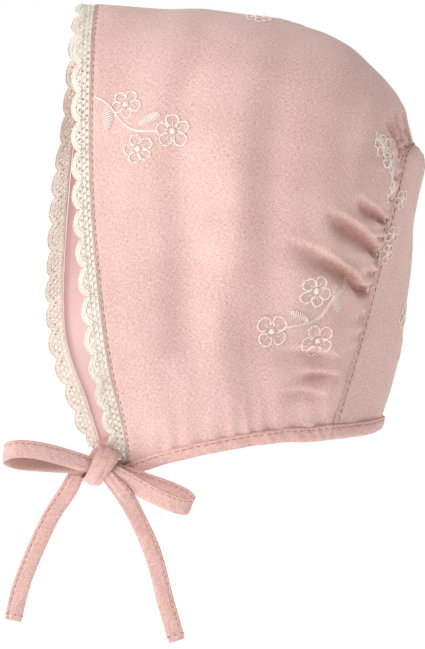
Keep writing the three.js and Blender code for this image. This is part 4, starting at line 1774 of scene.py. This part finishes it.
    def _loop(
        self,
        name: str,
        turn: float,
        swing: float,
        droop: float,
        twists: Pair,
        seed: int,
    ) -> Object:
        """Makes one loop of the bow.

        Args:
            name: the CAD node that it stands for.
            turn: 1 where it points to the back, -1 to the front.
            swing: its turn up from the bow's line, in degrees.
            droop: how far its two runs lie apart.
            twists: how far each of its two runs turns about itself, in degrees.
            seed: the seed of its creases.

        Returns:
            The object.
        """
        rise = math.radians(swing)
        angle = np.linspace(0.0, TAU, 181)
        middle = (self.layer(1) + self.layer(2)) / 2.0
        bulge = np.sin(angle / 2.0)
        reach = self.root + (self.loop_length - self.root) * np.clip(bulge, 0, 1) ** 1.5
        opened = np.sin(angle) * bulge
        away = self.loop_open * (1.3 * bulge * bulge - opened)
        out = middle - np.cos(angle / 2.0) * (middle - self.layer(1)) + away
        up = reach * math.sin(rise) - droop * opened
        centres = self.point(turn * reach * math.cos(rise), out, up)
        share = np.linspace(0.0, 1.0, len(angle))
        near = np.minimum(share, 1.0 - share) * 2.0
        widths = self.tie_width * (0.76 + 0.24 * smooth(0.0, 0.22, near))
        side = turn * self.up - math.sin(rise) * self.along
        turned = twists[0] * bell((share - 0.27) / 0.17) + twists[1] * bell((share - 0.73) / 0.17)
        lean = np.radians(turned)[:, None]
        side = side * np.cos(lean) + self.out * np.sin(lean)
        crimp = 1.0 - smooth(0.02, 0.42, near)
        strap = Strap("cloth_" + name, centres, side, widths, 1.5, crimp, seed, 0.66 * turn)
        strap_object = strap.object(self.finishes.binding)
        self.stitches += [strap.line(0.66 * turn, True)[12:-12], strap.line(0.66 * turn, False)[12:-12]]
        self._dress(strap_object, name)
        return strap_object

    def _dress(self, obj: Object, name: str) -> None:
        """Rides a strap on the body, in place of its CAD node.

        Args:
            obj: the strap's object.
            name: the CAD node.
        """
        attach(obj, "root")
        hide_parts(name)

    def _tail(
        self,
        name: str,
        turn: float,
        length: float,
        rows: tuple[Pair, ...],
        over: float,
        seed: int,
    ) -> Object:
        """Makes one hanging end, with its turned-in and stitched tip.

        Args:
            name: the CAD node that it stands for.
            turn: 1 where it leaves the knot to the back, -1 to the front.
            length: its length.
            rows: its path, across and down, as shares of its length.
            over: how far it lies outside its layer where it leaves the knot over the loops.
            seed: the seed of its creases.

        Returns:
            The object.
        """
        start = self.point(turn * self.root, self.layer(0), -1.0)
        leave = self.point(turn * (self.knot_width / 2.0 + 1.4), self.layer(0), -2.8)
        hung = [self.centre + np.array([self.layer(0), a * length, -d * length]) for a, d in rows]
        path = [start, leave] + hung
        curve = catmull(np.array(path)[None], np.linspace(0.0, 1.0, 400))[0]
        centres = even(curve, np.linspace(0.0, 1.0, 221))
        tangent = unit(np.gradient(centres, axis=0))
        sides = np.stack([0 * tangent[:, 0], tangent[:, 2], -tangent[:, 1]], axis=1)
        share = np.linspace(0.0, 1.0, len(centres))
        centres[:, 0] += over * (1.0 - smooth(0.1, 0.42, share) + 0.65 * bell((share - 0.17) / 0.09))
        widths = self.tie_width * (0.76 + 0.24 * smooth(0.0, 0.2, share))
        widths = widths * (1.0 + 0.012 * np.sin(share * 19.0 + seed))
        widths = widths * np.where(share > 0.995, 0.94, 1.0)
        crimp = 1.0 - smooth(0.05, 0.3, share)
        edge = 0.64 if turn < 0 else -0.64
        strap = Strap("cloth_" + name, centres, sides, widths, 1.6, crimp, seed, edge)
        obj = strap.object(self.finishes.binding)
        for upper in (True, False):
            self.stitches.append(strap.line(edge, upper)[14:-3])
            near_end = strap.grid[-8]
            half = Strap.AROUND // 2
            row = near_end[5 : half - 4] if upper else near_end[half + 5 : -4]
            self.stitches.append(row + strap.face[-8] * (0.05 if upper else -0.05))
        self._dress(obj, name)
        return obj

    def _lead(self, name: str, points: list[Array], ends: Pair, seed: int) -> Object:
        """Makes a strap that leads from the binding to the knot.

        Args:
            name: the CAD node that it stands for.
            points: its path.
            ends: its width at its start and its end.
            seed: the seed of its creases.

        Returns:
            The object.
        """
        curve = catmull(np.array(points)[None], np.linspace(0.0, 1.0, 300))[0]
        length = path_length(curve)
        centres = even(curve, np.linspace(0.0, 1.0, max(40, int(length * 1.6))))
        share = np.linspace(0.0, 1.0, len(centres))
        widths = ends[0] + (ends[1] - ends[0]) * share
        up = np.broadcast_to(np.array([0.0, 0.0, 1.0]), centres.shape)
        strap = Strap("cloth_" + name, centres, up, widths, 1.7, smooth(0.75, 1.0, share), seed)
        obj = strap.object(self.finishes.binding)
        self.stitches += [strap.line(0.62, True)[3:-6], strap.line(0.62, False)[3:-6]]
        self._dress(obj, name)
        return obj

    def build(self) -> list[Object]:
        """Makes the whole bow.

        Returns:
            Its objects.
        """
        made = self._knot()
        made.append(self._loop("bow_loop_front", -1.0, -14.0, 4.4, (35.0, 0.0), 71))
        made.append(self._loop("bow_loop_back", 1.0, 1.0, -3.2, (34.0, 4.0), 72))
        front = ((-0.172, 0.143), (-0.262, 0.277), (-0.388, 0.547), (-0.436, 0.68), (-0.476, 0.848))
        back = ((0.152, 0.193), (0.249, 0.377), (0.293, 0.5), (0.339, 0.684), (0.398, 0.89))
        made.append(self._tail("tail_front", -1.0, 76.0, front, 0.0, 73))
        made.append(self._tail("tail_back", 1.0, 84.0, back, 6.0, 74))
        x, y, z = self.corner
        left, right = (np.array([side * (x - 2.05), y - 0.3, z + 3.2]) for side in (1.0, -1.0))
        entry = self.point(self.knot_width / 2.0 + 1.5, self.layer(-1), 2.0)
        inside = self.point(self.root, self.layer(-1), 2.0)
        made.append(self._lead("lead_left", [left, entry, inside], (6.4, 5.6), 75))
        end = self.point(0.0, -(self.knot_deep + self.thick) / 2.0 - 0.3, 2.0)
        sags = ((0.08, 0.3), (0.3, 0.9), (0.55, 1.0), (0.8, 0.6))
        under = [right + (end - right) * s + np.array([0.0, -1.0, -4.0 * sag]) for s, sag in sags]
        made.append(self._lead("chin_strap", [right, *under, end], (6.4, 7.4), 76))
        return made


# Stitches and embroidery


@dataclass
class Topstitching:
    """The pink machine stitches along the face edge, the seam, the binding and the ties."""

    crown: CrownCloth
    back: BackCloth
    binding: NeckBinding
    bow: Bow
    finishes: Finishes

    def _run(self, name: str, paths: list[Array], pitch: float, length: float, radius: float) -> Object:
        """Makes one kind of stitch line.

        Args:
            name: the piece's name.
            paths: where it runs.
            pitch: from stitch to stitch, in millimetres.
            length: a stitch's length.
            radius: the thread's radius.

        Returns:
            The object.
        """
        obj = path_object(name, paths)
        values = {"Pitch": pitch * MM, "Length": length * MM, "Radius": radius * MM}
        values |= {"Wander": 0.12, "Seed": 5, "Material": self.finishes.pink}
        PathStitches().apply(obj, values)
        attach(obj, "root")
        return obj

    def build(self) -> list[Object]:
        """Makes every stitch line.

        Returns:
            Their objects.
        """
        u = np.linspace(0.012, 0.988, 1400)
        row = self.crown.from_face
        rows = np.linspace(0, row.shape[0] - 1, 1400).astype(int)
        t = np.array([np.interp(FACE_STITCH, row[i], self.crown.t) for i in rows])
        face = self.crown.at(u, t, 0.02)
        side = np.linspace(0.02, 0.99, 700)
        width = self.back.from_left[-1]
        inset = SEAM_STITCH / np.maximum(np.interp(side, self.back.columns, width), 4.0)
        seam = [self.back.at(inset, side, 0.03), self.back.at(1.0 - inset, side, 0.03)]
        made = [self._run("stitches_face", [face], STITCH_PITCH, 1.9, 0.2)]
        made.append(self._run("stitches_seam", seam, 3.1, 2.2, 0.17))
        made.append(self._run("stitches_binding", self.binding.stitch_lines(), 3.1, 2.3, 0.16))
        made.append(self._run("stitches_ties", self.bow.stitches, 2.6, 1.9, 0.15))
        return made


@dataclass(frozen=True)
class Flower:
    """A flower: its place, its radius, its first petal's turn and its petals."""

    u: float
    t: float
    radius: float = 6.3
    turn: float = 0.0
    petals: int = 5


@dataclass(frozen=True)
class Leaf:
    """A satin leaf between two places, and its width."""

    start: Pair
    end: Pair
    width: float = 4.0


@dataclass(frozen=True)
class Sprig:
    """A stem with its flowers and leaves, by places on the cloth."""

    stem: tuple[Pair, ...]
    flowers: tuple[Flower, ...] = ()
    leaves: tuple[Leaf, ...] = ()


NEAR_SPRIGS = (
    Sprig(
        ((0.380, 0.012), (0.370, 0.047), (0.3515, 0.080), (0.337, 0.117), (0.3295, 0.183)),
        (Flower(0.364, 0.098, 6.3, 0.3), Flower(0.3265, 0.218, 7.5, 1.0), Flower(0.317, 0.130, 6.6, 0.7)),
        (Leaf((0.3695, 0.050), (0.344, 0.050), 5.0), Leaf((0.3395, 0.133), (0.347, 0.187), 4.6)),
    ),
    Sprig(
        (
            (0.2056, 0.870),
            (0.186, 0.80),
            (0.1651, 0.735),
            (0.1395, 0.689),
            (0.1246, 0.587),
            (0.1202, 0.543),
        ),
        (Flower(0.164, 0.640, 7.0, 0.2), Flower(0.116, 0.500, 7.4, 0.8, 4), Flower(0.113, 0.700, 7.4, 0.5)),
        (Leaf((0.1800, 0.730), (0.1560, 0.790), 6.4), Leaf((0.1370, 0.547), (0.1308, 0.629), 3.6)),
    ),
    Sprig(
        ((0.3640, 0.915), (0.3610, 0.935), (0.358, 0.950), (0.355, 0.975)),
        (Flower(0.346, 0.955, 5.2, 0.6), Flower(0.3705, 0.83, 5.0, 0.9), Flower(0.3655, 0.885, 4.6, 0.3)),
        (Leaf((0.3740, 0.775), (0.3700, 0.860), 5.2), Leaf((0.3590, 0.905), (0.3590, 0.985), 6.5)),
    ),
    Sprig(
        ((0.4745, 0.46), (0.488, 0.475), (0.503, 0.46)),
        (Flower(0.4745, 0.437, 6.2, 0.1),),
        (Leaf((0.503, 0.46), (0.506, 0.51), 3.8),),
    ),
)


@dataclass
class Embroidery:
    """White flower sprigs worked on the hood's cloth."""

    crown: CrownCloth
    back: BackCloth
    finishes: Finishes
    seed: int = 8
    starts: list[Array] = field(default_factory=list)
    ends: list[Array] = field(default_factory=list)
    radii: list[Array] = field(default_factory=list)
    random: np.random.Generator = field(init=False)

    def __post_init__(self) -> None:
        """Starts the random numbers."""
        self.random = np.random.default_rng(self.seed)

    def _lay(self, cloth: Cloth, first: Array, last: Array, radius: float, lift: float) -> None:
        """Lays stitches between pairs of places on the cloth.

        Args:
            cloth: the cloth that carries them.
            first: places where they start, shaped (n, 2).
            last: places where they end.
            radius: the thread's radius.
            lift: how far their middle lies above the cloth.
        """
        self.starts.append(cloth.at(first[:, 0], first[:, 1], lift))
        self.ends.append(cloth.at(last[:, 0], last[:, 1], lift))
        self.radii.append(np.full(len(first), radius))

    def _disc(self, cloth: Cloth, at: Pair, spots: Array) -> Array:
        """Turns spots in millimetres round a place into places on the cloth.

        Args:
            cloth: the cloth.
            at: the place.
            spots: offsets backwards and downwards, shaped (n, 2).

        Returns:
            The places, shaped (n, 2).
        """
        right, down = cloth.frame_at(*at)
        return np.array(at) + spots[:, :1] * right + spots[:, 1:] * down

    def flower(self, cloth: Cloth, flower: Flower) -> None:
        """Works one flower: petals outlined in satin, a twig in each, and a raised centre.

        Args:
            cloth: the cloth that carries it.
            flower: the flower.
        """
        at = (flower.u, flower.t)
        for k in range(flower.petals):
            heading = flower.turn + TAU * k / flower.petals + self.random.uniform(-0.12, 0.12)
            ahead = np.array([math.cos(heading), math.sin(heading)])
            aside = np.array([-math.sin(heading), math.cos(heading)])
            size = flower.radius * self.random.uniform(0.93, 1.05)
            wide = 0.36 if flower.petals > 4 else 0.42
            turns = np.linspace(-2.75, 2.75, 36)
            turns = turns[(np.arange(36) + 3 * k) % 7 != 6]
            rims = []
            for grow, slant in ((0.86, -0.16), (1.13, 0.16)):
                far = (0.63 + 0.34 * grow * np.cos(turns + slant)) * size
                off = wide * grow * np.sin(turns + slant) * size
                stray = self.random.uniform(-0.27, 0.27, (len(turns), 2))
                rim = ahead[None] * far[:, None] + aside[None] * off[:, None] + stray
                rims.append(self._disc(cloth, at, rim))
            self._lay(cloth, rims[0], rims[1], 0.27, 0.2)
            twig = self._disc(cloth, at, ahead[None] * np.array([[0.28], [0.62]]) * size)
            self._lay(cloth, twig[:1], twig[1:], 0.2, 0.14)
        spin = np.linspace(0.0, math.pi, 10, endpoint=False) + flower.turn
        spoke = np.stack([np.cos(spin), np.sin(spin)], axis=1) * self.random.uniform(1.3, 1.8, (10, 1))
        for reach, lift in ((spoke, 0.26), (spoke[::3] * 0.6, 0.5)):
            self._lay(cloth, self._disc(cloth, at, -reach), self._disc(cloth, at, reach), 0.27, lift)

    def leaf(self, cloth: Cloth, leaf: Leaf) -> None:
        """Works one satin leaf, its threads across its length.

        Args:
            cloth: the cloth that carries it.
            leaf: the leaf.
        """
        start, end = np.array(leaf.start), np.array(leaf.end)
        at = tuple((start + end) / 2.0)
        right, down = cloth.frame_at(*at)
        both = np.stack([right, down], axis=1)
        axis = np.linalg.solve(both, end - start)
        length = float(np.linalg.norm(axis))
        ahead = axis / length
        aside = np.array([-ahead[1], ahead[0]])
        count = max(7, int(length / 0.84))
        share = np.linspace(-0.5, 0.5, count)
        half = leaf.width / 2.0 * np.sqrt(np.clip(1.0 - (share * 2.0) ** 2, 0.0, 1.0)) + 0.12
        middle = ahead[None] * (share * length)[:, None]
        swing = aside[None] * half[:, None] + ahead[None] * (half * 0.35)[:, None]
        first, last = (self._disc(cloth, at, middle + way * swing) for way in (-1.0, 1.0))
        self._lay(cloth, first, last, 0.34, 0.24)

    def stem(self, cloth: Cloth, places: tuple[Pair, ...]) -> None:
        """Works one stem in overlapping stitches.

        Args:
            cloth: the cloth that carries it.
            places: the stem's path.
        """
        spots = np.array(places)
        pts = np.stack([spots[:, 0], spots[:, 1], 0 * spots[:, 0]], axis=1)
        fine = catmull(pts[None], np.linspace(0.0, 1.0, 120))[0][:, :2]
        length = run_along(cloth.at(fine[:, 0], fine[:, 1]))
        marks = np.arange(0.0, length[-1] - 0.8, 1.15)
        first = np.stack([np.interp(marks, length, fine[:, k]) for k in (0, 1)], axis=1)
        last = np.stack([np.interp(marks + 1.9, length, fine[:, k]) for k in (0, 1)], axis=1)
        right, down = cloth.frame_at(*places[len(places) // 2])
        for aside in (-0.24, 0.3):
            shift = aside * (right + down)[None]
            self._lay(cloth, first + shift, last + shift, 0.27, 0.18)

    def sprig(self, cloth: Cloth, sprig: Sprig) -> None:
        """Works one sprig: its stem, its leaves and then its flowers.

        Args:
            cloth: the cloth that carries it.
            sprig: the sprig.
        """
        self.stem(cloth, sprig.stem)
        for leaf in sprig.leaves:
            self.leaf(cloth, leaf)
        for flower in sprig.flowers:
            self.flower(cloth, flower)

    def _mirrored(self, sprig: Sprig, shift: float) -> Sprig:
        """Moves a sprig to the other side of the hood.

        Args:
            sprig: the sprig.
            shift: how far it moves towards the back, as a share.

        Returns:
            Its twin.
        """

        def twin(place: Pair) -> Pair:
            """Returns a place's twin."""
            return 1.0 - place[0], min(place[1] + shift, 0.97)

        flowers = [
            Flower(1.0 - one.u, min(one.t + shift, 0.94), one.radius, -one.turn, one.petals)
            for one in sprig.flowers
        ]
        leaves = [Leaf(twin(one.start), twin(one.end), one.width) for one in sprig.leaves]
        return Sprig(tuple(twin(one) for one in sprig.stem), tuple(flowers), tuple(leaves))

    def build(self) -> list[Object]:
        """Works every sprig.

        Returns:
            The left and the right half's embroidery.
        """
        for sprig in NEAR_SPRIGS:
            self.sprig(self.crown, sprig)
            self.sprig(self.crown, self._mirrored(sprig, 0.03))
        for place in ((0.062, 0.305), (0.05, 0.41), (0.04, 0.462)):
            self.flower(self.back, Flower(*place, 4.6, 0.4))
        for across, down, turn in ((0.42, 0.2, 0.2), (0.66, 0.42, 0.9), (0.36, 0.66, 0.5)):
            self.flower(self.back, Flower(across, down, 6.0, turn))
            self.leaf(self.back, Leaf((across + 0.07, down + 0.07), (across + 0.13, down + 0.14), 3.6))
            steps = ((0.0, 0.03), (0.04, 0.07), (0.08, 0.14))
            self.stem(self.back, tuple((across + a, down + b) for a, b in steps))
        starts, ends = np.concatenate(self.starts), np.concatenate(self.ends)
        radii = np.concatenate(self.radii)
        made, worker = [], SatinStitches()
        on_left = starts[:, 0] > 0.0
        for name, side in (("embroidery_left", on_left), ("embroidery_right", ~on_left)):
            obj = stitch_object(name, starts[side], ends[side], radii[side])
            worker.apply(obj, {"Material": self.finishes.white})
            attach(obj, "root")
            made.append(obj)
        return made


# The studio


@dataclass
class Studio:
    """The plain floor, the soft light and the camera at the photo's angle."""

    azimuth: float = 80.0
    elevation: float = 5.0
    distance: float = 2.5
    lens: float = 326.3
    sensor: float = 36.0
    ambient: float = 0.39
    floor_half: float = 6000.0
    floor_level: float = -560.0

    def camera(self) -> None:
        """Places the camera as in the photo."""
        az, el = math.radians(self.azimuth), math.radians(self.elevation)
        right = np.array([math.cos(az), math.sin(az), 0.0])
        towards = np.array([math.sin(az) * math.cos(el), -math.cos(az) * math.cos(el), math.sin(el)])
        up = np.cross(towards, right)
        aim = right * 0.002 - up * 0.13005
        place = aim + towards * self.distance
        data = bpy.data.cameras.new("camera")
        data.sensor_fit = "VERTICAL"
        data.sensor_width = self.sensor
        data.sensor_height = self.sensor
        data.lens = self.lens
        data.clip_end = 50.0
        obj = bpy.data.objects.new("camera", data)
        columns = [(*axis, 0.0) for axis in (right, up, towards)] + [(*place, 1.0)]
        obj.matrix_world = Matrix(columns).transposed()
        bpy.context.scene.collection.objects.link(obj)
        bpy.context.scene.camera = obj

    def _lamp(
        self,
        name: str,
        place: tuple[float, float, float],
        size: float,
        power: float,
        aim: tuple[float, float, float],
    ) -> None:
        """Adds one soft square lamp.

        Args:
            name: its name.
            place: where it stands.
            size: its side.
            power: its power in watts.
            aim: the point that it faces.
        """
        data = bpy.data.lights.new(name, "AREA")
        data.size = size
        data.energy = power
        obj = bpy.data.objects.new(name, data)
        obj.location = place
        x, y, z = np.array(place) - np.array(aim)
        obj.rotation_euler = (math.atan2(math.hypot(x, y), z), 0.0, math.atan2(x, -y))
        bpy.context.scene.collection.objects.link(obj)

    def build(self) -> None:
        """Makes the floor, the world, the lamps and the camera."""
        turns = ((-1.0, -1.0), (1.0, -1.0), (1.0, 1.0), (-1.0, 1.0))
        corner = [(x * self.floor_half, y * self.floor_half, self.floor_level) for x, y in turns]
        floor = new_mesh("floor", np.array(corner), [[0, 1, 2, 3]])
        paper = NodeGraph("studio_paper")
        paper.shader.inputs["Base Color"].default_value = (0.93, 0.93, 0.93, 1.0)
        paper.shader.inputs["Roughness"].default_value = 0.9
        paper.shader.inputs["Emission Color"].default_value = (1.0, 1.0, 1.0, 1.0)
        paper.shader.inputs["Emission Strength"].default_value = 0.7
        floor.data.materials.append(paper.material)
        world = bpy.data.worlds.new("studio")
        world.use_nodes = True
        nodes, links = world.node_tree.nodes, world.node_tree.links
        nodes["Background"].inputs["Color"].default_value = (1.0, 1.0, 1.0, 1.0)
        seen = nodes.new("ShaderNodeMapRange")
        seen.inputs["To Min"].default_value = self.ambient
        seen.inputs["To Max"].default_value = 1.0
        links.new(nodes.new("ShaderNodeLightPath").outputs["Is Camera Ray"], seen.inputs["Value"])
        links.new(seen.outputs[0], nodes["Background"].inputs["Strength"])
        bpy.context.scene.world = world
        middle = (0.0, 0.0, -0.1)
        self._lamp("lamp_key", (1.05, -1.35, 0.66), 0.42, 21.0, middle)
        self._lamp("lamp_front", (0.35, -1.75, 0.15), 0.7, 10.5, middle)
        self._lamp("lamp_back", (-0.45, 1.0, 1.5), 0.9, 12.0, middle)
        bpy.context.scene.view_settings.view_transform = "Standard"
        bpy.context.scene.view_settings.look = "None"
        self.camera()


def main() -> None:
    """Builds the bonnet's pieces in order and stages them."""
    logging.basicConfig(level=logging.INFO, format="%(name)s: %(message)s")
    Studio().build()
    finishes = Finishes()
    surface = HoodSurface(Form())
    hood = Hood(surface, finishes)
    lace = LaceTrim(surface, finishes)
    binding = NeckBinding(surface, hood.crown, hood.back, finishes)
    bow = Bow(surface, finishes)
    stitching = Topstitching(hood.crown, hood.back, binding, bow, finishes)
    embroidery = Embroidery(hood.crown, hood.back, finishes)
    for part in (hood, lace, binding, bow, stitching, embroidery):
        for obj in part.build():
            LOG.info("%s: %d faces", obj.name, len(obj.data.polygons))


if __name__ == "__main__":
    main()
